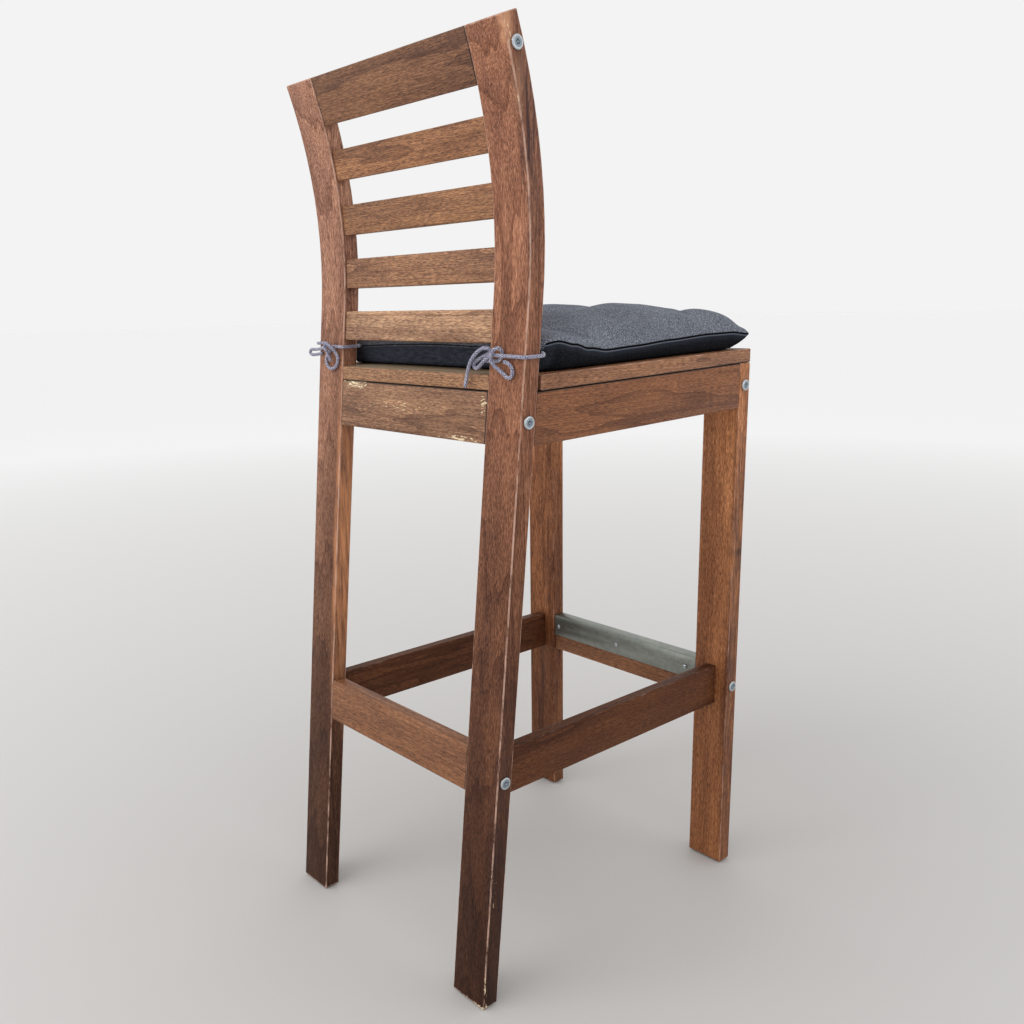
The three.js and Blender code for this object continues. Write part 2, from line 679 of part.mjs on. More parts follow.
// ---------------------------------------------------------------- glides
// A flat plastic pad with round ends and two pegs that press into the foot.
function footGlide(side, y) {
  const x = side * (HALF_WIDTH - LEG_WIDTH / 2);
  const shape = new THREE.Shape();
  shape.absarc(GLIDE_HALF_LENGTH, 0, GLIDE_END_RADIUS, -Math.PI / 2, Math.PI / 2);
  shape.absarc(-GLIDE_HALF_LENGTH, 0, GLIDE_END_RADIUS, Math.PI / 2, (3 * Math.PI) / 2);
  shape.closePath();
  const extrusion = { depth: GLIDE_HEIGHT, bevelEnabled: false, curveSegments: 8 };
  const pad = new THREE.ExtrudeGeometry(shape, extrusion);
  pad.translate(x, y, 0);
  const pegs = glidePegs.map((dx) => {
    const top = [x + dx, y, GLIDE_HEIGHT + GLIDE_PEG_LENGTH];
    return rod([x + dx, y, 1], top, GLIDE_PEG_RADIUS, 10);
  });
  return joined(solidFrom(pad), pegs);
}

for (const [name, side] of SIDES) {
  addPiece(name + "_rear_glide", footGlide(side, rearFootY), plastic);
  addPiece(name + "_front_glide", footGlide(side, LEG_MIDDLE_Y), plastic);
}

// ---------------------------------------------------------------- cushion
// A crowned pad on a rounded square, closed by its rim, with a flat underside on the seat.
function cushion() {
  const spokes = 40;
  const rings = [0, 0.3, 0.55, 0.75, 0.88, 0.95, 0.985, 1];
  const squareness = 10;
  const halfY = (CUSHION_REAR_Y - CUSHION_FRONT_Y) / 2;
  const middleY = (CUSHION_REAR_Y + CUSHION_FRONT_Y) / 2;
  const topAt = (r) => CUSHION_RIM + (CUSHION_CROWN - CUSHION_RIM) * Math.sqrt(1 - r ** 5);
  const bottomAt = (r) => 0.6 + (CUSHION_RIM - 0.6) * (1 - Math.sqrt(1 - r ** 9));
  const positions = [];
  const place = (r, k, height) => {
    const angle = (2 * Math.PI * k) / spokes;
    const c = Math.cos(angle);
    const s = Math.sin(angle);
    const reach = r / (Math.abs(c) ** squareness + Math.abs(s) ** squareness) ** (1 / squareness);
    const y = middleY + halfY * reach * s;
    positions.push(CUSHION_HALF_X * reach * c, y, seatTop(y) + height);
    return positions.length / 3 - 1;
  };
  const sheet = (heightAt) =>
    rings.slice(0, -1).map((r, i) => {
      const count = i === 0 ? 1 : spokes;
      return Array.from({ length: count }, (_, k) => place(r, k, heightAt(r)));
    });
  const rim = Array.from({ length: spokes }, (_, k) => place(1, k, CUSHION_RIM));
  const triangles = [];
  for (const [heightAt, facesUp] of [[topAt, true], [bottomAt, false]]) {
    const loops = [...sheet(heightAt), rim];
    for (let i = 0; i + 1 < loops.length; i++) {
      for (let k = 0; k < spokes; k++) {
        const next = (k + 1) % spokes;
        const inner = loops[i].length === 1 ? [loops[i][0]] : [loops[i][k], loops[i][next]];
        const outer = [loops[i + 1][k], loops[i + 1][next]];
        const faces = [[inner[0], outer[0], outer[1]]];
        if (inner.length === 2) faces.push([inner[0], outer[1], inner[1]]);
        for (const face of faces) triangles.push(...(facesUp ? face : face.reverse()));
      }
    }
  }
  const geometry = new THREE.BufferGeometry();
  geometry.setAttribute("position", new THREE.Float32BufferAttribute(positions, 3));
  geometry.setIndex(triangles);
  return solidFrom(geometry);
}

addPiece("seat_cushion", cushion(), fabric);

// ---------------------------------------------------------------- ties
// Each tie starts at the cushion's rear corner, runs round the post, and ends in a bow on the
// post's back face. Heights are above the seat's rear edge. The stretch round the post is
// [x, y, height] points, and the bow's points lie on the back face: [x, height, distance off it].
function roundPost([x, y, height]) {
  return [x, y, SEAT_REAR_Z + height];
}

function onBackFace([x, height, off]) {
  const z = SEAT_REAR_Z + height;
  const y = postFaceY(z, 0);
  return [x, y + off * Math.cos(POST_LEAN), z + off * Math.sin(POST_LEAN)];
}

const tieRoutes = {
  right_tie_outer: {
    round: [
      [-190, 131, 23],
      [-196.5, 135.5, 22],
      [-202, 141.2, 21.2],
      [-202.8, 148, 20.8],
      [-202.8, 164.4, 20.4],
      [-202.3, 167.7, 20.4],
      [-200.1, 169, 20.4],
    ],
    bow: [
      [-194, 20.4, 2.7],
      [-186, 20.4, 2.7],
      [-178, 20.6, 4.2],
      [-171, 20.8, 7],
      [-164, 21, 7.4],
      [-157, 21.5, 7.2],
      [-150, 19, 7.3],
      [-142, 13.8, 7.2],
      [-134, 8.8, 5.4],
      [-127.5, 6.5, 4.6],
      [-123.6, 9.6, 4.6],
      [-127.6, 14.6, 4.4],
      [-135.5, 18.4, 4],
      [-143, 21.6, 3.6],
      [-149.5, 24.6, 4.2],
      [-151.6, 27.4, 8],
      [-146, 28.2, 10.4],
      [-138, 25.8, 10.2],
      [-129.5, 20.2, 9.8],
      [-122.5, 12.5, 9],
      [-117.5, 3, 7.6],
      [-114, -6.5, 6.2],
      [-111.5, -15.5, 5.2],
    ],
  },
  right_tie_inner: {
    round: [
      [-183, 134, 26],
      [-176, 139, 25.6],
      [-168, 140.8, 24.2],
      [-158, 140.9, 21.6],
      [-147.4, 141.2, 18.8],
      [-142.4, 142.2, 17.6],
      [-141.1, 147, 16.4],
      [-141.1, 163.6, 15.2],
      [-141.5, 168.2, 15],
      [-143.5, 169.6, 15],
    ],
    bow: [
      [-149, 15, 2.7],
      [-156, 14.8, 2.7],
      [-162.5, 16, 2.7],
      [-166.6, 20.2, 2.7],
      [-167.6, 25, 3.6],
      [-165.8, 28.6, 7.2],
      [-162.6, 27, 11],
      [-160.2, 22.4, 12.2],
      [-158.8, 17, 11.2],
      [-159.4, 11.6, 8.4],
      [-162.6, 7.6, 5.6],
      [-167.4, 4.6, 3.8],
      [-172, 1.4, 3],
      [-176.6, -1.4, 2.8],
      [-181.4, -1.8, 2.8],
      [-184.8, 1.6, 2.8],
      [-184.4, 6.8, 2.8],
      [-180.6, 11.2, 2.8],
      [-175.4, 13.8, 2.8],
      [-169.6, 14.8, 2.8],
    ],
  },
  left_tie_inner: {
    round: [
      [183, 134, 27.5],
      [176, 139, 27.2],
      [168, 140.6, 26.8],
      [158, 140.6, 26.2],
      [147.4, 140.6, 25.8],
      [142.4, 141.4, 25.6],
      [141.1, 145.5, 25.4],
      [141.1, 162.6, 25],
      [141.5, 167.3, 25],
      [143.5, 168.6, 25],
    ],
    bow: [
      [149, 25, 2.8],
      [156, 25, 3.6],
      [162.5, 25, 6.2],
      [169, 24.8, 7.4],
      [176, 24, 7.2],
      [184, 22.8, 6],
      [193, 21.4, 4.6],
      [202, 20.6, 3.8],
      [210.5, 20.4, 3.4],
      [217.4, 19.6, 3.2],
      [219.2, 16, 3.2],
      [214.6, 13.6, 3.2],
      [206, 13.6, 3.2],
      [197, 14.6, 3.2],
      [188.4, 16.2, 3.2],
    ],
  },
  left_tie_outer: {
    round: [
      [190, 131, 24],
      [196.5, 135.5, 25.2],
      [201.6, 140.2, 26.4],
      [202.8, 146.5, 27.4],
      [202.8, 162, 28.8],
      [202.3, 166.8, 29.1],
      [200.1, 168.1, 29.2],
    ],
    bow: [
      [194, 29.2, 2.7],
      [186.5, 29.4, 2.7],
      [179, 28.6, 2.7],
      [172.6, 25.4, 2.7],
      [170.4, 20.4, 2.8],
      [174.6, 15.4, 3],
      [178.4, 9.4, 3],
      [177.6, 2.6, 3],
      [172, -2.2, 3],
      [164.6, -3.6, 3],
      [157, -1.4, 3],
      [152, 4.4, 3],
      [151, 11.4, 3.6],
      [153.6, 17.8, 6],
      [157.6, 23, 10],
      [162.4, 27.4, 11.8],
      [167.6, 27.6, 12.6],
      [169.2, 22.8, 12.4],
      [167.4, 17.2, 10],
      [165.6, 11.4, 7.2],
      [165, 5.6, 5.4],
    ],
  },
};

function tie({ round, bow }) {
  const points = [...round.map(roundPost), ...bow.map(onBackFace)].map((p) => new THREE.Vector3(...p));
  const path = new THREE.CatmullRomCurve3(points, false, "centripetal");
  const section = new THREE.Shape();
  const sides = 8;
  for (let k = 0; k < sides; k++) {
    const angle = (2 * Math.PI * k) / sides;
    const x = (TIE_DIAMETER / 2) * Math.cos(angle);
    const y = (TIE_DIAMETER / 2) * Math.sin(angle);
    if (k === 0) section.moveTo(x, y);
    else section.lineTo(x, y);
  }
  const steps = Math.min(60, 2 * points.length);
  return solidFrom(new THREE.ExtrudeGeometry(section, { steps, extrudePath: path }));
}

for (const [name, route] of Object.entries(tieRoutes)) addPiece(name, tie(route), tape);

export default stool;
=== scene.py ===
import math

import bmesh
import bpy
from mathutils import Matrix, Quaternion, Vector


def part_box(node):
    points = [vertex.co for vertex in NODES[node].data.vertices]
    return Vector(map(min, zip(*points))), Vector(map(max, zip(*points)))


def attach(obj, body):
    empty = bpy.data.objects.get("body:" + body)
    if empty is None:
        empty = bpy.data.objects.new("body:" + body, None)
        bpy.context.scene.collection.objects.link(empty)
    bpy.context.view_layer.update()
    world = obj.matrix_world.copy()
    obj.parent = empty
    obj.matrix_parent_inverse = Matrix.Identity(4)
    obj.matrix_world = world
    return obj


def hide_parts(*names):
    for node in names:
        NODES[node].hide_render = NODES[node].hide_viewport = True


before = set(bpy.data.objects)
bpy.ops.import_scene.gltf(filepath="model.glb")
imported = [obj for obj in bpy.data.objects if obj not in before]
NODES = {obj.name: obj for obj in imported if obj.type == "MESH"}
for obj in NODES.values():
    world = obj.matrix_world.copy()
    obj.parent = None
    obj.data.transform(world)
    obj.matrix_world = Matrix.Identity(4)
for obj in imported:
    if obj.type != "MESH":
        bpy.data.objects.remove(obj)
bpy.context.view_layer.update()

MM = 0.001


# ------------------------------------------------------------------ camera
CAMERA_PLACE = (-0.9652, 0.8998, 0.8212)
CAMERA_YAW = math.radians(49.579)
CAMERA_PITCH = math.radians(-14.164)
CAMERA_ROLL = math.radians(1.406)
CAMERA_LENS = 34.715
CAMERA_SHIFT = (0.0404, 0.0378)


def make_camera():
    """A camera that looks from the stool's right rear, a little down, with a small roll."""
    data = bpy.data.cameras.new("camera")
    camera = bpy.data.objects.new("camera", data)
    bpy.context.collection.objects.link(camera)
    level = math.cos(CAMERA_PITCH)
    view = Vector((
        math.sin(CAMERA_YAW) * level,
        -math.cos(CAMERA_YAW) * level,
        math.sin(CAMERA_PITCH),
    ))
    turn = Quaternion(view, CAMERA_ROLL) @ view.to_track_quat("-Z", "Y")
    camera.matrix_world = Matrix.Translation(CAMERA_PLACE) @ turn.to_matrix().to_4x4()
    data.sensor_width = 36.0
    data.lens = CAMERA_LENS
    data.shift_x, data.shift_y = CAMERA_SHIFT
    data.clip_start = 0.05
    bpy.context.scene.camera = camera


make_camera()


# ------------------------------------------------------------------ meshes and pieces
def new_object(name, mesh, material):
    thing = bpy.data.objects.new(name, mesh)
    bpy.context.collection.objects.link(thing)
    mesh.materials.append(material)
    for face in mesh.polygons:
        face.use_smooth = True
    return thing


def mesh_of(name, vertices, faces):
    mesh = bpy.data.meshes.new(name)
    mesh.from_pydata([tuple(v) for v in vertices], [], faces)
    mesh.update()
    return mesh


def tube_faces(rings, sides):
    """The faces of a closed tube, whose points lie in rings that follow each other."""
    faces = []
    for start in range(0, (rings - 1) * sides, sides):
        for k in range(sides):
            a = start + k
            b = start + (k + 1) % sides
            faces.append((a, b, b + sides, a + sides))
    last = (rings - 1) * sides
    faces.append(tuple(range(sides - 1, -1, -1)))
    faces.append(tuple(range(last, last + sides)))
    return faces


def add_values(mesh, name, values):
    """Gives each point of a mesh a value that materials can read by name."""
    mesh.attributes.new(name, "FLOAT", "POINT").data.foreach_set("value", values)


def stands_for(piece, node):
    """A finished piece takes the place of a CAD node and rides on the stool's only body."""
    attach(piece, "root")
    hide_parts(node)
    return piece


# ------------------------------------------------------------------ materials
class Nodes:
    """A short way to write a material's nodes."""

    def __init__(self, name):
        self.material = bpy.data.materials.new(name)
        self.material.use_nodes = True
        self.tree = self.material.node_tree
        self.shader = self.tree.nodes["Principled BSDF"]

    def add(self, kind, inputs=(), **settings):
        """A new node. inputs gives its sockets plain values or other nodes' outputs."""
        node = self.tree.nodes.new("ShaderNode" + kind)
        for key, value in settings.items():
            setattr(node, key, value)
        for socket, value in dict(inputs).items():
            self.put(node.inputs[socket], value)
        return node

    def put(self, socket, value):
        if isinstance(value, bpy.types.NodeSocket):
            self.tree.links.new(value, socket)
        else:
            socket.default_value = value

    def math(self, operation, a, b=0.0):
        return self.add("Math", {0: a, 1: b}, operation=operation).outputs[0]

    def object_place(self):
        return self.add("TexCoord").outputs["Object"]

    def attribute(self, name):
        return self.add("Attribute", attribute_name=name).outputs["Fac"]

    def part(self, vector, axis):
        return self.add("SeparateXYZ", {0: vector}).outputs[axis]

    def facing(self, axis):
        """How squarely the surface faces along an axis, from -1 to 1."""
        return self.part(self.add("NewGeometry").outputs["Normal"], axis)

    def place(self, vector, location=(0, 0, 0), rotation=(0, 0, 0), scale=(1, 1, 1)):
        inputs = {"Vector": vector, "Location": location, "Rotation": rotation, "Scale": scale}
        return self.add("Mapping", inputs).outputs[0]

    def cloud(self, vector, scale, detail, roughness):
        inputs = {"Vector": vector, "Scale": scale, "Detail": detail, "Roughness": roughness}
        return self.add("TexNoise", inputs).outputs["Fac"]

    def drawn_out(self, vector, scales, detail, roughness):
        """Clouds with a scale of their own along each axis, so that they can be long and thin."""
        return self.cloud(self.place(vector, scale=scales), 1.0, detail, roughness)

    def spread(self, value, low, high, to_low=0.0, to_high=1.0):
        """Maps values between low and high onto the range from to_low to to_high."""
        sockets = ("Value", "From Min", "From Max", "To Min", "To Max")
        inputs = dict(zip(sockets, (value, low, high, to_low, to_high)))
        return self.add("MapRange", inputs).outputs[0]

    def blend(self, factor, a, b, blend_type="MIX"):
        """Mixes two colours. A Mix node takes them at inputs 6 and 7 and gives output 2."""
        node = self.add("Mix", data_type="RGBA", blend_type=blend_type)
        self.put(node.inputs[0], factor)
        self.put(node.inputs[6], a)
        self.put(node.inputs[7], b)
        return node.outputs[2]

    def shade(self, tone, by):
        """Makes a tone darker or lighter by a grey or a colour near 1."""
        return self.blend(1.0, tone, by, "MULTIPLY")

    def ramp(self, value, *stops):
        """A colour for a value, from stops of (value, colour)."""
        node = self.add("ValToRGB", {"Fac": value})
        elements = node.color_ramp.elements
        while len(elements) < len(stops):
            elements.new(0.5)
        for element, (position, colour) in zip(elements, stops):
            element.position = position
            element.color = colour
        return node.outputs[0]

    def bump(self, height, strength, distance):
        inputs = {"Height": height, "Strength": strength, "Distance": distance}
        return self.add("Bump", inputs).outputs[0]

    def finish(self, **sockets):
        """Sets the shader's sockets, with _ for each space in their names."""
        for socket, value in sockets.items():
            self.put(self.shader.inputs[socket.replace("_", " ")], value)
        return self.material


def rgb(red, green, blue):
    """A colour given as it looks on screen, 0 to 255, in the linear light that shaders use."""
    def linear(value):
        value /= 255
        return value / 12.92 if value <= 0.04045 else ((value + 0.055) / 1.055) ** 2.4
    return (linear(red), linear(green), linear(blue), 1)


def grey(value):
    return (value, value, value, 1)


# ------------------------------------------------------------------ ties
# Each tie leaves a rear corner of the cushion, runs round a post, and ends in a bow on the
# post's back face. The stretch round the post is (x, y, height) points, and the bow's points
# are (x, height, distance off the back face), all in millimetres, with heights above the
# seat's rear edge.
SEAT_REAR_Z = 742.4
FOOT_BACK_Y = 246.0
FOOT_CUT_Z = 2.4
POST_LEAN = math.radians(6)
TIE_DIAMETER = 4.2 * MM
TIE_STEP = 0.45 * MM
TIE_SIDES = 20
# Sets how many strands wind round a tie.
STRANDS = 5
BRAID_PITCH = 4.2 * MM
BRAID_SHARPNESS = 0.6
# The cord's reach between its strands and what a strand adds, as shares of its radius.
BRAID_LOW = 0.8
BRAID_RISE = 0.24
# Near a cut end, the radius shrinks to the root of END_SHARE + distance / END_LENGTH.
END_SHARE = 0.25
END_LENGTH = 1.2 * MM
TIES = {
    "right_tie_outer": (
        [(-190, 131, 23), (-196.5, 135.5, 22), (-202, 141.2, 21.2), (-202.8, 148, 20.8),
         (-202.8, 164.4, 20.4), (-202.3, 167.7, 20.4), (-200.1, 169, 20.4)],
        [(-194, 20.4, 2.7), (-186, 20.4, 2.7), (-178, 20.6, 4.2), (-171, 20.8, 7),
         (-164, 21, 7.4), (-157, 21.5, 7.2), (-150, 19, 7.3), (-142, 13.8, 7.2),
         (-134, 8.8, 5.4), (-127.5, 6.5, 4.6), (-123.6, 9.6, 4.6), (-127.6, 14.6, 4.4),
         (-135.5, 18.4, 4), (-143, 21.6, 3.6), (-149.5, 24.6, 4.2), (-151.6, 27.4, 8),
         (-146, 28.2, 10.4), (-138, 25.8, 10.2), (-129.5, 20.2, 9.8), (-122.5, 12.5, 9),
         (-117.5, 3, 7.6), (-114, -6.5, 6.2), (-111.5, -15.5, 5.2)],
    ),
    "right_tie_inner": (
        [(-183, 134, 26), (-176, 139, 25.6), (-168, 140.8, 24.2), (-158, 140.9, 21.6),
         (-147.4, 141.2, 18.8), (-142.4, 142.2, 17.6), (-141.1, 147, 16.4),
         (-141.1, 163.6, 15.2), (-141.5, 168.2, 15), (-143.5, 169.6, 15)],
        [(-149, 15, 2.7), (-156, 14.8, 2.7), (-162.5, 16, 2.7), (-166.6, 20.2, 2.7),
         (-167.6, 25, 3.6), (-165.8, 28.6, 7.2), (-162.6, 27, 11), (-160.2, 22.4, 12.2),
         (-158.8, 17, 11.2), (-159.4, 11.6, 8.4), (-162.6, 7.6, 5.6), (-167.4, 4.6, 3.8),
         (-172, 1.4, 3), (-176.6, -1.4, 2.8), (-181.4, -1.8, 2.8), (-184.8, 1.6, 2.8),
         (-184.4, 6.8, 2.8), (-180.6, 11.2, 2.8), (-175.4, 13.8, 2.8), (-169.6, 14.8, 2.8)],
    ),
    "left_tie_inner": (
        [(183, 134, 27.5), (176, 139, 27.2), (168, 140.6, 26.8), (158, 140.6, 26.2),
         (147.4, 140.6, 25.8), (142.4, 141.4, 25.6), (141.1, 145.5, 25.4),
         (141.1, 162.6, 25), (141.5, 167.3, 25), (143.5, 168.6, 25)],
        [(149, 25, 2.8), (156, 25, 3.6), (162.5, 25, 6.2), (169, 24.8, 7.4), (176, 24, 7.2),
         (184, 22.8, 6), (193, 21.4, 4.6), (202, 20.6, 3.8), (210.5, 20.4, 3.4),
         (217.4, 19.6, 3.2), (219.2, 16, 3.2), (214.6, 13.6, 3.2), (206, 13.6, 3.2),
         (197, 14.6, 3.2), (188.4, 16.2, 3.2)],
    ),
    "left_tie_outer": (
        [(190, 131, 24), (196.5, 135.5, 25.2), (201.6, 140.2, 26.4), (202.8, 146.5, 27.4),
         (202.8, 162, 28.8), (202.3, 166.8, 29.1), (200.1, 168.1, 29.2)],
        [(194, 29.2, 2.7), (186.5, 29.4, 2.7), (179, 28.6, 2.7), (172.6, 25.4, 2.7),
         (170.4, 20.4, 2.8), (174.6, 15.4, 3), (178.4, 9.4, 3), (177.6, 2.6, 3),
         (172, -2.2, 3), (164.6, -3.6, 3), (157, -1.4, 3), (152, 4.4, 3), (151, 11.4, 3.6),
         (153.6, 17.8, 6), (157.6, 23, 10), (162.4, 27.4, 11.8), (167.6, 27.6, 12.6),
         (169.2, 22.8, 12.4), (167.4, 17.2, 10), (165.6, 11.4, 7.2), (165, 5.6, 5.4)],
    ),
}


def round_post(point):
    """The place of an (x, y, height) point."""
    x, y, height = point
    return Vector((x, y, SEAT_REAR_Z + height)) * MM


def on_back_face(point):
    """The place of an (x, height, distance) point off the leaning back face of a post."""
    x, height, off = point
    z = SEAT_REAR_Z + height
    y = FOOT_BACK_Y - (z - FOOT_CUT_Z) * math.tan(POST_LEAN)
    return Vector((x, y + off * math.cos(POST_LEAN), z + off * math.sin(POST_LEAN))) * MM


def smooth_path(points, step):
    """Even steps along a centripetal Catmull-Rom curve through the points, and its length."""
    ends = [points[0] * 2 - points[1], *points, points[-1] * 2 - points[-2]]
    fine = []
    for a, b, c, d in zip(ends, ends[1:], ends[2:], ends[3:]):
        t1 = (b - a).length ** 0.5
        t2 = t1 + (c - b).length ** 0.5
        t3 = t2 + (d - c).length ** 0.5
        count = max(4, round((c - b).length / step * 2))
        for k in range(count):
            t = t1 + (t2 - t1) * k / count
            ab = a.lerp(b, t / t1)
            bc = b.lerp(c, (t - t1) / (t2 - t1))
            cd = c.lerp(d, (t - t2) / (t3 - t2))
            abc = ab.lerp(bc, t / t2)
            bcd = bc.lerp(cd, (t - t1) / (t3 - t1))
            fine.append(abc.lerp(bcd, (t - t1) / (t2 - t1)))
    fine.append(points[-1])
    return even_steps(fine, step)


def even_steps(fine, step):
    """Places points at even distances along a line of close points. Also returns its length."""
    travelled = [0.0]
    for a, b in zip(fine, fine[1:]):
        travelled.append(travelled[-1] + (b - a).length)
    count = round(travelled[-1] / step)
    even, i = [], 0
    for k in range(count + 1):
        goal = travelled[-1] * k / count
        while i < len(fine) - 2 and travelled[i + 1] < goal:
            i += 1
        part = (goal - travelled[i]) / max(travelled[i + 1] - travelled[i], 1e-9)
        even.append(fine[i].lerp(fine[i + 1], min(part, 1.0)))
    return even, travelled[-1]


def braid_lift(angle, gone):
    """How far strands stand out, 0 to 1, at an angle round the cord and a distance along it."""
    turn = gone / BRAID_PITCH * math.pi
    half = STRANDS / 2 * angle
    return abs(math.cos(half + turn) * math.cos(half - turn)) ** BRAID_SHARPNESS


def tie(name, route, material):
    """A round braided cord: two sets of strands wind round it and pass over each other."""
    stretch, bow = route
    points = [round_post(p) for p in stretch] + [on_back_face(p) for p in bow]
    path, length = smooth_path(points, TIE_STEP)
    last = len(path) - 1
    vertices, relief = [], []
    side = (path[1] - path[0]).orthogonal().normalized()
    for i, centre in enumerate(path):
        tangent = (path[min(i + 1, last)] - path[max(i - 1, 0)]).normalized()
        side = (side - tangent * side.dot(tangent)).normalized()
        up = tangent.cross(side)
        gone = length * i / last
        from_end = min(gone, length - gone)
        radius = TIE_DIAMETER / 2 * math.sqrt(min(1.0, END_SHARE + from_end / END_LENGTH))
        for k in range(TIE_SIDES):
            angle = 2 * math.pi * k / TIE_SIDES
            lift = braid_lift(angle, gone)
            reach = radius * (BRAID_LOW + BRAID_RISE * lift)
            vertices.append(centre + (side * math.cos(angle) + up * math.sin(angle)) * reach)
            relief.append(lift)
    mesh = mesh_of(name + "_braid", vertices, tube_faces(len(path), TIE_SIDES))
    add_values(mesh, "relief", relief)
    piece = stands_for(new_object(name + "_braid", mesh, material), name)


def tie_braid():
    """Greyish lavender cord, with painted shade between its strands, painted highlights on their
    crests, and a little faded in places.
    """
    n = Nodes("tie_cord")
    place = n.object_place()
    fibre = n.cloud(place, 620.0, 3.0, 0.7)
    faded = n.drawn_out(place, (90, 90, 90), 2.0, 0.5)
    shade_between_strands, strand, crest_highlight = rgb(22, 20, 34), rgb(120, 118, 146), rgb(224, 223, 240)
    # Painted shade between the strands and painted highlights on their crests.
    tone = n.ramp(n.attribute("relief"), (0.2, shade_between_strands), (0.55, strand), (0.9, crest_highlight))
    tone = n.blend(n.spread(fibre, 0.5, 0.62, 0.0, 0.7), tone, rgb(214, 213, 226))
    tone = n.blend(n.spread(fibre, 0.48, 0.36, 0.0, 0.8), tone, rgb(70, 68, 94))
    tone = n.blend(n.spread(faded, 0.4, 0.62, 0.0, 0.4), tone, rgb(120, 118, 142))
    return n.finish(Base_Color=tone, Roughness=n.spread(fibre, 0.3, 0.7, 0.82, 0.95),
                    Normal=n.bump(fibre, 0.35, 0.0002), Sheen_Weight=0.25)


# ------------------------------------------------------------------ cushion
SEAT_REAR_Y = 169.1
SEAT_TILT = math.radians(1.4)
CUSHION_HALF_X = 198.5 * MM
CUSHION_FRONT_Y = -245 * MM
CUSHION_REAR_Y = 134 * MM
CUSHION_HALF_Y = (CUSHION_REAR_Y - CUSHION_FRONT_Y) / 2
CUSHION_MIDDLE_Y = (CUSHION_REAR_Y + CUSHION_FRONT_Y) / 2
# The filled cushion stays within these: half its width, and how far its rear edge may bulge.
WIDEST_X = 202 * MM
REAR_BULGE = 4 * MM
CUSHION_CELLS = 70
# The crown's height above the seat, and what it gains towards the front.
CROWN = 49 * MM
FRONT_CROWN = 6 * MM
SIDE_PULL = 5 * MM
SEAM_LIP = 0.5 * MM
LIP_RISE = 1.4 * MM
SEAM_BACK = 4 * MM
SEAM_DEPTH = 1.5 * MM
# The lower panel's painted shade changes over this height below the seam.
SIDE_PANEL = 22 * MM
# How far the rear corners are drawn in and forwards, and over how much of the cushion.
CORNER_PULL = 11 * MM
CORNER_FORWARD = 2 * MM
CORNER_SPREAD = 0.012
# Past these shares of its half width and half length, the seam runs along a side.
SEAM_SIDE_X = 0.955
SEAM_SIDE_Y = 0.96
TUFT_SPACING = 113 * MM
TUFT_MIDDLE_Y = -57.5 * MM
TUFT_DEPTH = 8 * MM
TUFT_RADIUS = 12 * MM
TUFT_HELD = 4 * MM
TUFTS = [
    (i * TUFT_SPACING, TUFT_MIDDLE_Y + j * TUFT_SPACING) for i in (-1, 0, 1) for j in (-1, 0, 1)
]
STITCH_LENGTH = 11 * MM
STITCH_RADIUS = 0.9 * MM
STITCH_SINK = 1.2 * MM
STITCH_REACH = 6 * MM
CLOTH_FRAMES = 20
MOST_MOVE = 14 * MM
SEAT_CLEARANCE = 0.8 * MM
# The seam's (y, height above the seat) along the cushion's sides, from its front to its rear.
SEAM_HEIGHTS = [
    (-245, 19), (-205, 23), (-160, 23.5), (-90, 21.5), (-20, 19), (28, 18), (60, 22),
    (85, 28), (110, 33), (124, 31), (134, 21),
]


def seat_top(y):
    """The height of the seat boards' upper faces, which rise towards the front."""
    return SEAT_REAR_Z * MM + (SEAT_REAR_Y * MM - y) * math.tan(SEAT_TILT)


def seam_height(y):
    """The seam's height above the seat, eased from each point of SEAM_HEIGHTS to the next."""
    along = y / MM
    for (y0, h0), (y1, h1) in zip(SEAM_HEIGHTS, SEAM_HEIGHTS[1:]):
        if along <= y1:
            part = min(max((along - y0) / (y1 - y0), 0), 1)
            part = part * part * (3 - 2 * part)
            return (h0 + (h1 - h0) * part) * MM
    return SEAM_HEIGHTS[-1][1] * MM


def cloth_lines(half):
    """Grid lines from -1 to 1, with two close to each end for the seam's lip."""
    lip = SEAM_LIP / half
    back = SEAM_BACK / half
    inner = 1 - back
    even = [-inner + 2 * inner * k / CUSHION_CELLS for k in range(CUSHION_CELLS + 1)]
    return [-1, -1 + lip, *even, 1 - lip, 1]


def cushion_outline(a, b):
    """The place on the plan for grid values a and b: sides pulled in between sharp corners."""
    x = a * (CUSHION_HALF_X - SIDE_PULL * (1 - b * b))
    y = b * (CUSHION_HALF_Y - SIDE_PULL * (1 - a * a))
    corner = math.exp(-((1 - abs(a)) ** 2 + (1 - b) ** 2) / CORNER_SPREAD)
    x -= math.copysign(CORNER_PULL, a) * corner
    return x, CUSHION_MIDDLE_Y + y - CORNER_FORWARD * corner


def inwards(a, b, side, rear, front):
    """1 in the cushion's middle and 0 at its edges. A higher power stays near 1 for longer."""
    return (1 - abs(a) ** side) * (1 - abs(b) ** (rear if b > 0 else front))


def top_height(a, b, x, y):
    """How high the top panel lies above the seat: a crown with a dent at each tuft."""
    rim = seam_height(y)
    crown = CROWN + FRONT_CROWN * max(0.0, -b)
    full = inwards(a, b, side=5, rear=5, front=8) ** 0.45
    dent = sum(math.exp(-(((x - u) ** 2 + (y - v) ** 2) / TUFT_RADIUS ** 2)) for u, v in TUFTS)
    return rim + (crown - rim) * full - TUFT_DEPTH * dent


def settled(a, b):
    """How far the bottom panel has come down from the seam: 1 where it rests on the seat."""
    return min(1.0, 1.5 * inwards(a, b, side=12, rear=20, front=9) ** 0.5)


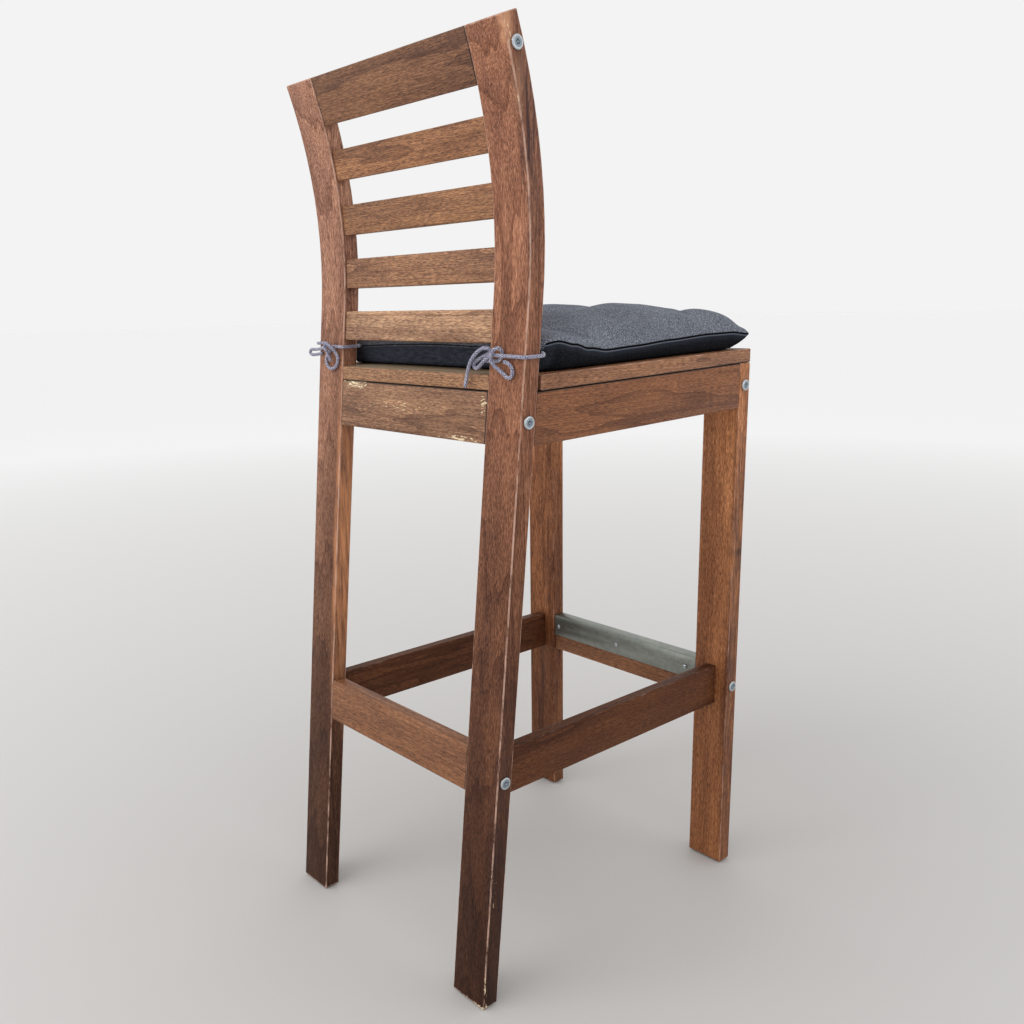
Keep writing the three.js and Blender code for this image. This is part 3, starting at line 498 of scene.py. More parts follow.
def cushion_mesh():
    """Top and bottom panels joined along the seam, before they are filled."""
    columns = cloth_lines(CUSHION_HALF_X)
    rows = cloth_lines(CUSHION_HALF_Y)
    vertices, seam, pinned, under = [], [], [], []
    index = {}
    for j, b in enumerate(rows):
        for i, a in enumerate(columns):
            x, y = cushion_outline(a, b)
            rim = seam_height(y)
            flat = settled(a, b)
            on_seam = i in (0, len(columns) - 1) or j in (0, len(rows) - 1)
            on_lip = i in (1, len(columns) - 2) or j in (1, len(rows) - 2)
            at_tuft = min(math.hypot(x - u, y - v) for u, v in TUFTS) < TUFT_HELD
            for bottom in (False, True):
                if on_seam and bottom:
                    index[i, j, True] = index[i, j, False]
                    continue
                index[i, j, bottom] = len(vertices)
                if on_lip:
                    height = rim + (-LIP_RISE if bottom else LIP_RISE)
                elif bottom:
                    height = rim - (rim - SEAT_CLEARANCE) * flat
                else:
                    height = top_height(a, b, x, y)
                vertices.append((x, y, seat_top(y) + height))
                seam.append(1.0 if on_seam else 0.0)
                under.append(0.5 if on_seam else float(bottom))
                on_seat = bottom and flat == 1.0
                held = on_seam or on_lip or on_seat or (at_tuft and not bottom)
                pinned.append(float(held))
    mesh = mesh_of("cushion", vertices, panel_faces(index, len(columns), len(rows)))
    add_values(mesh, "seam", seam)
    add_values(mesh, "under", under)
    add_values(mesh, "pinned", pinned)
    return mesh


def panel_faces(index, columns, rows):
    """The cells of both panels. Those of the bottom panel are turned round to face down."""
    faces = []
    for j in range(rows - 1):
        for i in range(columns - 1):
            cell = [(i, j), (i + 1, j), (i + 1, j + 1), (i, j + 1)]
            faces.append(tuple(index[u, v, False] for u, v in cell))
            faces.append(tuple(index[u, v, True] for u, v in reversed(cell)))
    return faces


def fill_cushion(piece):
    """Blows the cushion up as cloth, held along its seam, at its tufts and on the seat."""
    mesh = piece.data
    rest = [v.co.copy() for v in mesh.vertices]
    group = piece.vertex_groups.new(name="held")
    for i, held in enumerate(mesh.attributes["pinned"].data):
        group.add([i], held.value, "REPLACE")
    cloth = piece.modifiers.new("cloth", "CLOTH")
    settings = cloth.settings
    settings.quality = 8
    settings.mass = 0.3
    settings.tension_stiffness = 18
    settings.compression_stiffness = 18
    settings.shear_stiffness = 8
    settings.bending_stiffness = 0.4
    settings.use_pressure = True
    settings.uniform_pressure_force = 4
    settings.shrink_min = -0.035
    settings.vertex_group_mass = "held"
    settings.effector_weights.gravity = 0
    cloth.collision_settings.use_collision = False
    cloth.point_cache.frame_start = 1
    cloth.point_cache.frame_end = CLOTH_FRAMES
    scene = bpy.context.scene
    for frame_number in range(1, CLOTH_FRAMES + 1):
        scene.frame_set(frame_number)
    filled = piece.evaluated_get(bpy.context.evaluated_depsgraph_get()).to_mesh()
    moved = [v.co.copy() for v in filled.vertices]
    piece.modifiers.remove(cloth)
    scene.frame_set(1)
    for vertex, old, new in zip(mesh.vertices, rest, moved):
        step = new - old
        if step.length > MOST_MOVE:
            step *= MOST_MOVE / step.length
        vertex.co = old + step
    piece.vertex_groups.clear()


def sink_seam(mesh):
    """Draws the seam in, so that it lies in a groove between the two panels' lips."""
    middle = Vector((0, CUSHION_MIDDLE_Y, 0))
    for vertex, mark in zip(mesh.vertices, mesh.attributes["seam"].data):
        if mark.value == 1.0:
            side = vertex.co - middle
            along_x = abs(side.x) > CUSHION_HALF_X * SEAM_SIDE_X
            along_y = abs(side.y) > CUSHION_HALF_Y * SEAM_SIDE_Y
            draw = Vector((math.copysign(along_x, side.x), math.copysign(along_y, side.y), 0))
            if draw.length:
                vertex.co -= draw.normalized() * (SEAM_LIP + SEAM_DEPTH)


def keep_clear(mesh):
    """Rests the underside on the seat, and keeps the sides and the rear edge in their places."""
    for vertex in mesh.vertices:
        lowest = seat_top(vertex.co.y) + SEAT_CLEARANCE
        vertex.co.z = max(vertex.co.z, lowest)
        vertex.co.y = min(vertex.co.y, CUSHION_REAR_Y + REAR_BULGE)
        vertex.co.x = max(-WIDEST_X, min(WIDEST_X, vertex.co.x))


def cushion():
    """The finished seat cushion: filled, smoothed and tufted."""
    piece = new_object("cushion_cloth", cushion_mesh(), cushion_fabric())
    fill_cushion(piece)
    keep_clear(piece.data)
    sink_seam(piece.data)
    smooth = piece.modifiers.new("smooth", "SUBSURF")
    smooth.levels = smooth.render_levels = 1
    graph = bpy.context.evaluated_depsgraph_get()
    mesh = bpy.data.meshes.new_from_object(piece.evaluated_get(graph), depsgraph=graph)
    piece.modifiers.clear()
    piece.data = mesh
    keep_clear(mesh)
    mark_seam(mesh)
    tufting(piece)
    stands_for(piece, "seat_cushion")


def mark_seam(mesh):
    """Notes how far above or below the seam each part of the cloth is."""
    above = [v.co.z - seat_top(v.co.y) - seam_height(v.co.y) for v in mesh.vertices]
    add_values(mesh, "above_seam", above)


def tufting(piece):
    """Sews a short bar of thread across the middle of each tuft."""
    piece.data.materials.append(thread())
    work = bmesh.new()
    work.from_mesh(piece.data)
    points = [vertex.co.copy() for vertex in work.verts]
    for u, v in TUFTS:
        near = [p for p in points if max(abs(p.x - u), abs(p.y - v)) < STITCH_REACH]
        height = max(p.z for p in near) - STITCH_SINK
        bar = bmesh.ops.create_cone(
            work, cap_ends=True, segments=10,
            radius1=STITCH_RADIUS, radius2=STITCH_RADIUS, depth=STITCH_LENGTH,
            matrix=Matrix.Translation((u, v, height)) @ Matrix.Rotation(math.pi / 2, 4, "Y"),
        )
        for vertex in bar["verts"]:
            for face in vertex.link_faces:
                face.material_index = 1
                face.smooth = True
    work.to_mesh(piece.data)
    work.free()


def thread():
    """Dark twisted sewing thread."""
    n = Nodes("tuft_thread")
    twist = n.add("TexWave", {"Vector": n.object_place(), "Scale": 420.0, "Distortion": 1.0},
                  bands_direction="DIAGONAL").outputs["Fac"]
    tone = n.ramp(twist, (0.2, rgb(18, 18, 22)), (0.8, rgb(58, 60, 68)))
    return n.finish(Base_Color=tone, Roughness=0.85, Normal=n.bump(twist, 0.5, 0.0002))


def threads(n, place, axis):
    """Threads laid side by side along one axis."""
    inputs = {"Vector": place, "Scale": 330.0, "Distortion": 0.6, "Detail": 1.0}
    return n.add("TexWave", inputs, wave_type="BANDS", bands_direction=axis).outputs["Fac"]


def shaded_lower_panel(n, above, slub):
    """Painted shade: nearly black cloth, with a painted highlight on the lip just under the seam, a
    painted shadow right under the seam, and painted light, greyer, where it faces the back.
    """
    shadow = n.ramp(
        n.spread(above, -SIDE_PANEL, 0.0),
        (0.0, rgb(2, 2, 3)), (0.55, rgb(9, 9, 13)), (0.85, rgb(34, 37, 46)),
        (0.93, rgb(104, 110, 122)), (0.945, rgb(4, 4, 6)),
    )
    # Painted light: faces turned to the back are made greyer in patches.
    back = n.spread(n.facing("Y"), 0.3, 0.8)
    lit_back = n.math("MULTIPLY", back, n.spread(slub, 0.3, 0.65, 0.35, 1.0))
    return n.blend(lit_back, shadow, rgb(68, 73, 86))


def cushion_fabric():
    """Slate grey woven cloth: crossing threads and flecks, with painted shade in the seam and
    underneath.
    """
    n = Nodes("cushion_fabric")
    place = n.object_place()
    crossing = n.math("MULTIPLY", threads(n, place, "X"), threads(n, place, "Y"))
    weave = n.math("ADD", crossing, n.math("MULTIPLY", threads(n, place, "Z"), 0.4))
    fleck = n.cloud(place, 800.0, 3.0, 0.75)
    slub = n.drawn_out(place, (90, 620, 300), 3.0, 0.6)
    faded = n.cloud(place, 11.0, 3.0, 0.6)
    dark, middling, pale = rgb(60, 64, 73), rgb(106, 111, 122), rgb(176, 182, 193)
    tone = n.ramp(fleck, (0.36, dark), (0.5, middling), (0.64, pale))
    tone = n.blend(n.math("MULTIPLY", weave, 0.35), tone, rgb(56, 59, 66))
    tone = n.shade(tone, n.ramp(slub, (0.3, grey(0.8)), (0.7, grey(1.2))))
    tone = n.shade(tone, n.ramp(faded, (0.3, grey(0.86)), (0.7, grey(1.14))))
    under = n.attribute("under")
    above = n.attribute("above_seam")
    # The lower panel gets its painted shade, lip highlight and lit back.
    tone = n.blend(n.spread(under, 0.5, 0.56, 0.0, 0.94), tone, shaded_lower_panel(n, above, slub))
    # Painted shadow: a dark line in the seam's groove.
    at_seam = n.spread(n.math("ABSOLUTE", above), 1.6 * MM, 0.8 * MM)
    edge = n.math("MULTIPLY", at_seam, n.spread(under, 0.01, 0.2))
    tone = n.blend(edge, tone, rgb(5, 5, 8))
    height = n.math("ADD", weave, n.math("MULTIPLY", fleck, 0.8))
    gloss = n.spread(under, 0.5, 0.6, 0.15, 0.03)
    return n.finish(Base_Color=tone, Roughness=n.spread(fleck, 0.3, 0.7, 0.86, 0.97),
                    Normal=n.bump(height, 0.4, 0.00025), Specular_IOR_Level=gloss)


TIE_BRAID = tie_braid()
for name, route in TIES.items():
    tie(name, route, TIE_BRAID)
cushion()


# ------------------------------------------------------------------ stained wood
GRAIN_TURN = {
    "X": (0, 0, 0),
    "Y": (0, 0, -math.pi / 2),
    "Z": (0, math.pi / 2, 0),
}
BARE_WOOD = rgb(238, 218, 180)
RUBBED_WOOD = rgb(206, 168, 150)
# A dark tone for painted shade in joints.
JOINT_SHADE = rgb(24, 14, 10)
PORE = rgb(46, 28, 20)
WEATHERED_WOOD = rgb(132, 124, 102)
# How far the seat boards reach below the seat, and where rails and slats end.
BOARD_UNDERSIDE = 17.7 * MM
RAIL_END_X = 144 * MM
# Painted shade towards the floor fades out between these heights in metres, and lower in pale
# streaks of the wood.
SHADE_FULL_BELOW = 0.05
SHADE_GONE_ABOVE = 1.05
STREAK_DROP = 0.3


def figure(n, along, colour):
    """The stain's tone over growth rings, long streaks, short dashes and open pores."""
    rings = n.add("TexWave", {
        "Vector": n.place(along, scale=(0.1, 1, 1)), "Scale": 21.0, "Distortion": 7.0,
        "Detail": 2.0, "Detail Scale": 1.6, "Detail Roughness": 0.55,
    }, wave_type="BANDS", bands_direction="Y", wave_profile="SAW").outputs["Fac"]
    broad = n.drawn_out(along, (5, 30, 30), 3.0, 0.55)
    streak = n.drawn_out(along, (13, 700, 700), 3.0, 0.6)
    dash = n.drawn_out(along, (120, 1350, 1350), 2.0, 0.6)
    pore = n.drawn_out(along, (190, 1700, 1700), 1.0, 0.5)
    tone = colour
    for value, stops in (
        (rings, ((0.0, (0.66, 0.6, 0.58, 1)), (0.22, grey(0.98)), (1.0, (1.12, 1.13, 1.12, 1)))),
        (broad, ((0.3, (0.76, 0.72, 0.74, 1)), (0.7, (1.22, 1.24, 1.2, 1)))),
        (streak, ((0.3, (0.7, 0.64, 0.62, 1)), (0.5, grey(1.0)), (0.72, (1.34, 1.38, 1.38, 1)))),
        (dash, ((0.34, (0.5, 0.44, 0.42, 1)), (0.5, grey(1.0)), (0.68, (1.6, 1.7, 1.74, 1)))),
    ):
        tone = n.shade(tone, n.ramp(value, *stops))
    open_share = n.spread(broad, 0.35, 0.65, 0.9, 0.35)
    open_pore = n.math("MULTIPLY", n.spread(pore, 0.4, 0.34), open_share)
    tone = n.blend(open_pore, tone, PORE)
    height = n.math("ADD", n.math("MULTIPLY", dash, 0.6), n.math("MULTIPLY", open_pore, -0.6))
    return tone, height, broad, streak


def painted_shade_near_floor(n, place, tone, broad, foot):
    """Painted shade: darkens and reddens the wood's tone towards the floor, where foot of its tone
    is left.
    """
    sunk = n.math("ADD", n.part(place, "Z"), n.math("MULTIPLY", broad, STREAK_DROP))
    climb = n.math("POWER", n.spread(sunk, SHADE_FULL_BELOW, SHADE_GONE_ABOVE), 1.75)
    shade = n.spread(climb, 0.0, 1.0, foot, 1.0)
    tint = n.add("CombineColor", {
        "Red": shade, "Green": n.math("POWER", shade, 1.12), "Blue": n.math("POWER", shade, 1.25),
    }).outputs[0]
    return n.shade(tone, tint)


def nearness(n, place, centre, reach):
    """1 at the centre of a spot and 0 past its reach along each axis."""
    offset = n.add("VectorMath", {0: place, 1: centre}, operation="SUBTRACT").outputs[0]
    scaled = n.add("VectorMath", {0: offset, 1: reach}, operation="DIVIDE").outputs[0]
    away = n.add("VectorMath", {0: scaled}, operation="LENGTH").outputs["Value"]
    return n.spread(away, 1.0, 0.2)


def shaded_joints(n, place, tone, under_boards, rail_end):
    """Painted shade in the joint under the seat boards, and where a rail meets a post."""
    if under_boards:
        rise = n.math("MULTIPLY", n.part(place, "Y"), math.tan(SEAT_TILT))
        plane = n.math("ADD", n.part(place, "Z"), rise)
        joint = seat_top(0) - BOARD_UNDERSIDE
        away = n.math("ABSOLUTE", n.math("SUBTRACT", plane, joint))
        tone = n.blend(n.spread(away, 2.0 * MM, 0.7 * MM, 0.0, 0.92), tone, JOINT_SHADE)
    if rail_end:
        short_of_end = n.math("SUBTRACT", RAIL_END_X, n.math("ABSOLUTE", n.part(place, "X")))
        tone = n.blend(n.spread(short_of_end, rail_end, rail_end * 0.4, 0.0, 0.9), tone, JOINT_SHADE)
    return tone


def toned_patch(n, place, along, tone, patch):
    """Another tone in streaks around a spot, for real stains, painted light and painted shade."""
    centre, reach, amount, stain = patch
    streaky = n.spread(n.drawn_out(along, (20, 200, 200), 4.0, 0.6), 0.3, 0.6)
    mask = n.math("MULTIPLY", nearness(n, place, centre, reach), streaky)
    return n.blend(n.math("MULTIPLY", mask, amount), tone, stain)


def weather(n, tone, broad, amount):
    """Greys the faces that look up."""
    up = n.spread(n.facing("Z"), 0.85, 0.97)
    mask = n.math("MULTIPLY", up, n.spread(broad, 0.2, 0.6, 0.6, 1.0))
    return n.blend(n.math("MULTIPLY", mask, amount), tone, WEATHERED_WOOD)


def rub(n, along, tone, amount):
    """Wears the stain thin in streaks."""
    thin = n.drawn_out(along, (30, 160, 160), 5.0, 0.8)
    mask = n.spread(thin, 0.6 - amount * 0.25, 0.8 - amount * 0.25)
    return n.blend(n.math("MULTIPLY", mask, 0.3 + amount * 0.6), tone, RUBBED_WOOD)


def chip(n, place, along, tone, spot):
    """Flakes of bare wood around a spot."""
    centre, reach, amount = spot
    flake = n.drawn_out(along, (110, 560, 560), 3.0, 0.7)
    near = nearness(n, place, centre, reach)
    cover = n.math("ADD", flake, n.math("MULTIPLY", near, 0.3 * amount))
    mask = n.math("MULTIPLY", n.spread(cover, 0.79, 0.81), n.spread(near, 0.0, 0.1))
    return n.blend(mask, tone, BARE_WOOD)


def wood(name, grain, seed, colour, foot=1.0, shine=0.35, rubbed=0.0, chips=(), toned_patches=(),
         under_boards=False, rail_end=0.0, weathered=0.0):
    """Stained hardwood with its grain along one axis, and a seed that moves its figure.
    foot is the share of its tone that painted shade leaves at the floor, shine how strongly it
    reflects, rubbed how much of an arris has lost its stain, and weathered how grey its upper face
    is.
    chips are (centre, reach, amount) spots with flakes of bare wood, and the toned patches of
    another tone, real stains, painted light and painted shade, are (centre, reach, amount, colour).
    under_boards and rail_end put painted shade in the joint under the seat boards, and on the last
    stretch of a rail."""
    n = Nodes(name)
    place = n.object_place()
    shift = (seed * 0.37, seed * 0.71, seed * 0.53)
    along = n.place(place, location=shift, rotation=GRAIN_TURN[grain])
    tone, height, broad, streak = figure(n, along, colour)
    # Painted shade: the tone darkens and reddens towards the floor.
    if foot < 1:
        tone = painted_shade_near_floor(n, place, tone, broad, foot)
    # Patches of another tone: real stains, painted light and painted shade.
    for patch in toned_patches:
        tone = toned_patch(n, place, along, tone, patch)
    if weathered:
        tone = weather(n, tone, broad, weathered)
    if rubbed:
        tone = rub(n, along, tone, rubbed)
    # Painted shade in the joints under the seat boards and near the rail ends.
    tone = shaded_joints(n, place, tone, under_boards, rail_end)
    for spot in chips:
        tone = chip(n, place, along, tone, spot)
    roughness = n.spread(streak, 0.25, 0.75, 0.64, 0.46)
    return n.finish(Base_Color=tone, Roughness=roughness, Normal=n.bump(height, 0.4, 0.0003),
                    Specular_IOR_Level=shine)


# The looks of each kind of board, as the values that wood() takes.
POST = {"grain": "Z", "colour": rgb(154, 104, 80), "foot": 0.12, "shine": 0.16, "rubbed": 0.9}
LEG = {"grain": "Z", "colour": rgb(212, 143, 98), "foot": 0.36, "shine": 0.22, "rubbed": 0.55}
SLAT = {"grain": "X", "colour": rgb(148, 101, 68), "rubbed": 0.2, "rail_end": 1.6 * MM}
RAIL = {"grain": "X", "colour": rgb(122, 81, 56), "rubbed": 0.25, "rail_end": 2.6 * MM}
SEAT_RAIL = {**RAIL, "colour": rgb(142, 103, 76), "under_boards": True}
LOW_RAIL = {**RAIL, "colour": rgb(126, 82, 54), "rail_end": 1.2 * MM}
APRON = {"grain": "Y", "colour": rgb(128, 80, 50), "rubbed": 0.3, "under_boards": True}
BOARD = {"grain": "Y", "colour": rgb(140, 96, 68), "rubbed": 0.5, "under_boards": True}
SEAT_SLAT = {
    **SLAT, "colour": rgb(156, 114, 82), "under_boards": True, "rail_end": 0.0, "weathered": 0.75,
}
LOW_SIDE = {"grain": "Y", "colour": rgb(90, 53, 32), "shine": 0.15, "rubbed": 0.3}
# Chips of bare wood: the centre and the reach along each axis in metres, and the amount.
RAIL_CHIPS = (
    ((0.115, 0.17, 0.722), (0.05, 0.05, 0.014), 1.0),
    ((-0.138, 0.17, 0.706), (0.012, 0.05, 0.03), 0.75),
    ((-0.1, 0.17, 0.669), (0.06, 0.05, 0.008), 1.0),
    ((0.02, 0.17, 0.7), (0.14, 0.05, 0.03), 0.55),
)
POST_CHIPS = (
    ((-0.2, 0.246, 0.003), (0.06, 0.03, 0.006), 1.0),
    ((-0.2, 0.242, 0.03), (0.004, 0.004, 0.04), 0.8),
    ((-0.2, 0.18, 0.72), (0.006, 0.03, 0.03), 0.75),
    ((-0.2, 0.228, 0.17), (0.005, 0.02, 0.12), 0.5),
    ((-0.2, 0.186, 1.07), (0.005, 0.012, 0.03), 0.7),
    ((-0.2, 0.172, 1.0), (0.003, 0.012, 0.08), 0.55),
)
# A dark tone for real stains, and on the right front leg for painted shade.
DARK_STAIN_AND_SHADE = rgb(50, 37, 40)
WASHED_STAIN = rgb(224, 166, 128)
# A pale tone for painted light.
PAINTED_LIGHT_TONE = rgb(204, 140, 98)
WOODEN = {
    "left_rear_post": {
        **POST, "colour": rgb(166, 120, 98),
        # Painted light: a pale patch brightens the middle of this post's inner face.
        "toned_patches": (((0.144, 0.19, 0.52), (0.01, 0.08, 0.3), 1.0, PAINTED_LIGHT_TONE),),
    },
    "right_rear_post": {
        **POST, "chips": POST_CHIPS,
        "toned_patches": (
            ((-0.2, 0.188, 1.075), (0.012, 0.013, 0.03), 0.9, WASHED_STAIN),
            ((-0.2, 0.17, 1.03), (0.012, 0.009, 0.03), 0.8, WASHED_STAIN),
            ((-0.2, 0.16, 0.985), (0.012, 0.03, 0.17), 0.9, DARK_STAIN_AND_SHADE),
            ((-0.2, 0.21, 0.2), (0.012, 0.06, 0.3), 0.5, DARK_STAIN_AND_SHADE),
        ),
    },
    "left_front_leg": {**LEG, "colour": rgb(196, 130, 88), "foot": 0.2},
    "right_front_leg": {
        **LEG,
        "toned_patches": (
            ((-0.2, -0.228, 0.477), (0.012, 0.03, 0.009), 1.0, DARK_STAIN_AND_SHADE),
            # Painted shade: this patch darkens the leg's outer side face down its whole length.
            ((-0.2, -0.235, 0.4), (0.008, 0.03, 0.6), 0.7, DARK_STAIN_AND_SHADE),
        ),
    },
    "top_rail": {**RAIL, "colour": rgb(118, 79, 55)},
    "rear_seat_rail": {**SEAT_RAIL, "chips": RAIL_CHIPS},
    "front_seat_rail": SEAT_RAIL,
    "rear_stretcher": LOW_RAIL,
    "footrest_rail": LOW_RAIL,
    "left_side_apron": APRON,
    "right_side_apron": {**APRON, "chips": (((-0.19, 0.13, 0.7), (0.02, 0.03, 0.02), 0.9),)},
    "left_seat_side_board": BOARD,
    "right_seat_side_board": BOARD,
    "left_side_stretcher": LOW_SIDE,
    "right_side_stretcher": LOW_SIDE,
    "back_slat_1": SLAT,
    "back_slat_2": {**SLAT, "colour": rgb(141, 97, 66)},
    "back_slat_3": {**SLAT, "colour": rgb(152, 108, 78)},
    "back_slat_4": {**SLAT, "colour": rgb(170, 130, 100)},
    **{f"seat_slat_{i}": SEAT_SLAT for i in range(1, 8)},
}
ARRIS = 1.4 * MM


def round_edges(thing, width, edge_material=-1):
    """Rounds the sharp edges of a CAD node, whose flat faces are first made whole. The edges
    get the material with that number, or else that of the faces beside them."""
    weld = thing.modifiers.new("weld", "WELD")
    weld.merge_threshold = 0.02 * MM
    whole = thing.modifiers.new("whole", "DECIMATE")
    whole.decimate_type = "DISSOLVE"
    whole.angle_limit = math.radians(0.5)
    bevel = thing.modifiers.new("arris", "BEVEL")
    bevel.width = width
    bevel.segments = 3
    bevel.limit_method = "ANGLE"
    bevel.angle_limit = math.radians(50)
    bevel.use_clamp_overlap = False
    bevel.harden_normals = True
    bevel.material = edge_material


def dress(thing, *materials):
    """Gives a CAD node its materials, the first one on all its faces."""
    thing.data.materials.clear()
    for material in materials:
        thing.data.materials.append(material)
    for face in thing.data.polygons:
        face.use_smooth = True
        face.material_index = 0


for seed, (name, look) in enumerate(WOODEN.items()):
    faces = wood("wood_" + name, seed=seed, **{**look, "rubbed": 0.0})
    edges = wood("arris_" + name, seed=seed, **look)
    dress(NODES[name], faces, edges)
    round_edges(NODES[name], ARRIS, edge_material=1)


# ------------------------------------------------------------------ metal and plastic
def zinc():
    """Zinc-plated steel, darker and bluer on the parts of a head that are marked as inner."""
    n = Nodes("fastener_zinc")
    place = n.object_place()
    cloudy = n.cloud(place, 900.0, 3.0, 0.6)
    tone = n.ramp(cloudy, (0.3, (0.34, 0.37, 0.39, 1)), (0.7, (0.66, 0.7, 0.73, 1)))
    tone = n.blend(n.math("MULTIPLY", n.attribute("inner"), 0.8), tone, (0.2, 0.25, 0.3, 1))
    return n.finish(Base_Color=tone, Metallic=1.0, Roughness=n.spread(cloudy, 0.3, 0.7, 0.42, 0.24))


def galvanised():
    """Zinc-coated steel sheet: faint spangle, long scuffs and a slightly green cast."""
    n = Nodes("guard_steel")
    place = n.object_place()
    spangle = n.add("TexVoronoi", {"Vector": place, "Scale": 210.0}).outputs["Color"]
    fleck = n.add("SeparateColor", {0: spangle}).outputs[0]
    scuff = n.drawn_out(place, (14, 500, 500), 3.0, 0.6)
    dull = n.drawn_out(place, (9, 30, 30), 3.0, 0.55)
    tone = n.ramp(fleck, (0.0, (0.27, 0.285, 0.26, 1)), (1.0, (0.32, 0.34, 0.305, 1)))
    tone = n.shade(tone, n.ramp(dull, (0.3, grey(0.78)), (0.7, grey(1.12))))
    tone = n.shade(tone, n.ramp(scuff, (0.3, grey(0.92)), (0.6, grey(1.06))))
    rough = n.math("ADD", n.spread(scuff, 0.3, 0.7, 0.38, 0.46), n.math("MULTIPLY", dull, 0.12))
    return n.finish(Base_Color=tone, Metallic=1.0, Roughness=rough,
                    Normal=n.bump(scuff, 0.08, 0.0002))


def glide_plastic():
    """Dark, slightly gritty plastic."""
    n = Nodes("glide_plastic")
    grit = n.cloud(n.object_place(), 700.0, 3.0, 0.6)
    tone = n.ramp(grit, (0.35, grey(0.008)), (0.7, grey(0.03)))
    return n.finish(Base_Color=tone, Roughness=n.spread(grit, 0.3, 0.7, 0.4, 0.65),
                    Normal=n.bump(grit, 0.2, 0.0002))


ZINC = zinc()
TURNED_SIDES = 48
HEAD_STEPS = 5
# The hole in a head is this much wider at its mouth, down to this depth.
MOUTH_WIDER = 0.15 * MM
MOUTH_DEPTH = 0.2 * MM
# Lengths run from the head's underside, and heights up from it.
BOLT_LENGTH = 90 * MM
BOLT_RADIUS = 3 * MM
BOLT_TIP = 1.4 * MM
BOLT_HEAD_RADIUS = 7.5 * MM
BOLT_HEAD_HEIGHT = 2.6 * MM
BOLT_SOCKET = 5 * MM
BOLT_SOCKET_DEPTH = 2.2 * MM
# A bolt's head has a rim, then a groove, and then a flat disc round its socket.
BOLT_RIM = 5.4 * MM
BOLT_GROOVE = (4.9 * MM, 4.3 * MM)
BOLT_DISC = 4 * MM
SCREW_LENGTH = 16 * MM
SCREW_RADIUS = 1.6 * MM
SCREW_TIP = 2 * MM
SCREW_HEAD_RADIUS = 3.6 * MM
SCREW_HEAD_HEIGHT = 2 * MM
SCREW_CROSS = 1.7 * MM
SCREW_CROSS_WEB = 0.5 * MM
SCREW_CROSS_DEPTH = 1.1 * MM
NUT_EDGE = 0.5 * MM
GLIDE_EDGE = 0.7 * MM
GUARD_EDGE = 0.35 * MM


def turned(name, place, axis, profile, hole, inner_radius=0.0):
    """A lathe-turned piece: profile is (radius, height) points along axis. hole gives the
    radius of the recess in its head by angle, and its depth. The face of the head is darker and
    bluer inside inner_radius."""
    turn = Vector((0, 0, 1)).rotation_difference(Vector(axis)).to_matrix()
    vertices, inner = [], []

    def ring(radius_at, height):
        inner.extend([float(height > 0 and radius_at(0) < inner_radius)] * TURNED_SIDES)
        for k in range(TURNED_SIDES):
            angle = 2 * math.pi * k / TURNED_SIDES
            radius = radius_at(angle)
            point = Vector((radius * math.cos(angle), radius * math.sin(angle), height))
            vertices.append(turn @ point + Vector(place))

    for radius, height in profile:
        ring(lambda angle, radius=radius: radius, height)
    top = profile[-1][1]
    edge, depth = hole
    ring(lambda angle: edge(angle) + MOUTH_WIDER, top)
    ring(edge, top - MOUTH_DEPTH)
    ring(edge, top - depth)
    mesh = mesh_of(name, vertices, tube_faces(len(profile) + 3, TURNED_SIDES))
    add_values(mesh, "inner", inner)
    return new_object(name, mesh, ZINC)


def hexagon(across):
    """A hexagonal hole's radius by angle, from its width across the flats."""
    return lambda angle: across / 2 / math.cos((angle + math.pi / 6) % (math.pi / 3) - math.pi / 6)


def cross(reach, web):
    """A cross-shaped hole's radius by angle, from web between its arms to reach at their ends."""
    return lambda angle: web + (reach - web) * abs(math.cos(2 * angle)) ** 6


def rounded(radius, top, fillet):
    """The last points of a head's profile: a rounded rim that runs into its flat top."""
    points = []
    for k in range(HEAD_STEPS + 1):
        angle = math.pi / 2 * k / HEAD_STEPS
        out = radius - fillet + fillet * math.cos(angle)
        points.append((out, top - fillet + fillet * math.sin(angle)))
    return points


def bolt(node):
    """A furniture bolt in place of its CAD node, with its head on the outer face."""
    low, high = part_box(node)
    middle = (low + high) / 2
    outward = 1 if middle.x > 0 else -1
    seat = outward * (max(abs(low.x), abs(high.x)) - BOLT_HEAD_HEIGHT)
    profile = [
        (BOLT_RADIUS - BOLT_TIP, -BOLT_LENGTH),
        (BOLT_RADIUS, BOLT_TIP - BOLT_LENGTH),
        (BOLT_RADIUS, -0.1 * MM),
        (BOLT_HEAD_RADIUS - 0.3 * MM, 0),
        (BOLT_HEAD_RADIUS, 0.3 * MM),
        *rounded(BOLT_HEAD_RADIUS, 2.3 * MM, 1.5 * MM),
        (BOLT_RIM, 2.5 * MM),
        (BOLT_GROOVE[0], 2.1 * MM),
        (BOLT_GROOVE[1], 2.0 * MM),
        (BOLT_DISC, 2.3 * MM),
    ]
    piece = turned(node + "_turned", (seat, middle.y, middle.z), (outward, 0, 0), profile,
                   hole=(hexagon(BOLT_SOCKET), BOLT_SOCKET_DEPTH),
                   inner_radius=BOLT_GROOVE[0] + 0.05 * MM)
    stands_for(piece, node)


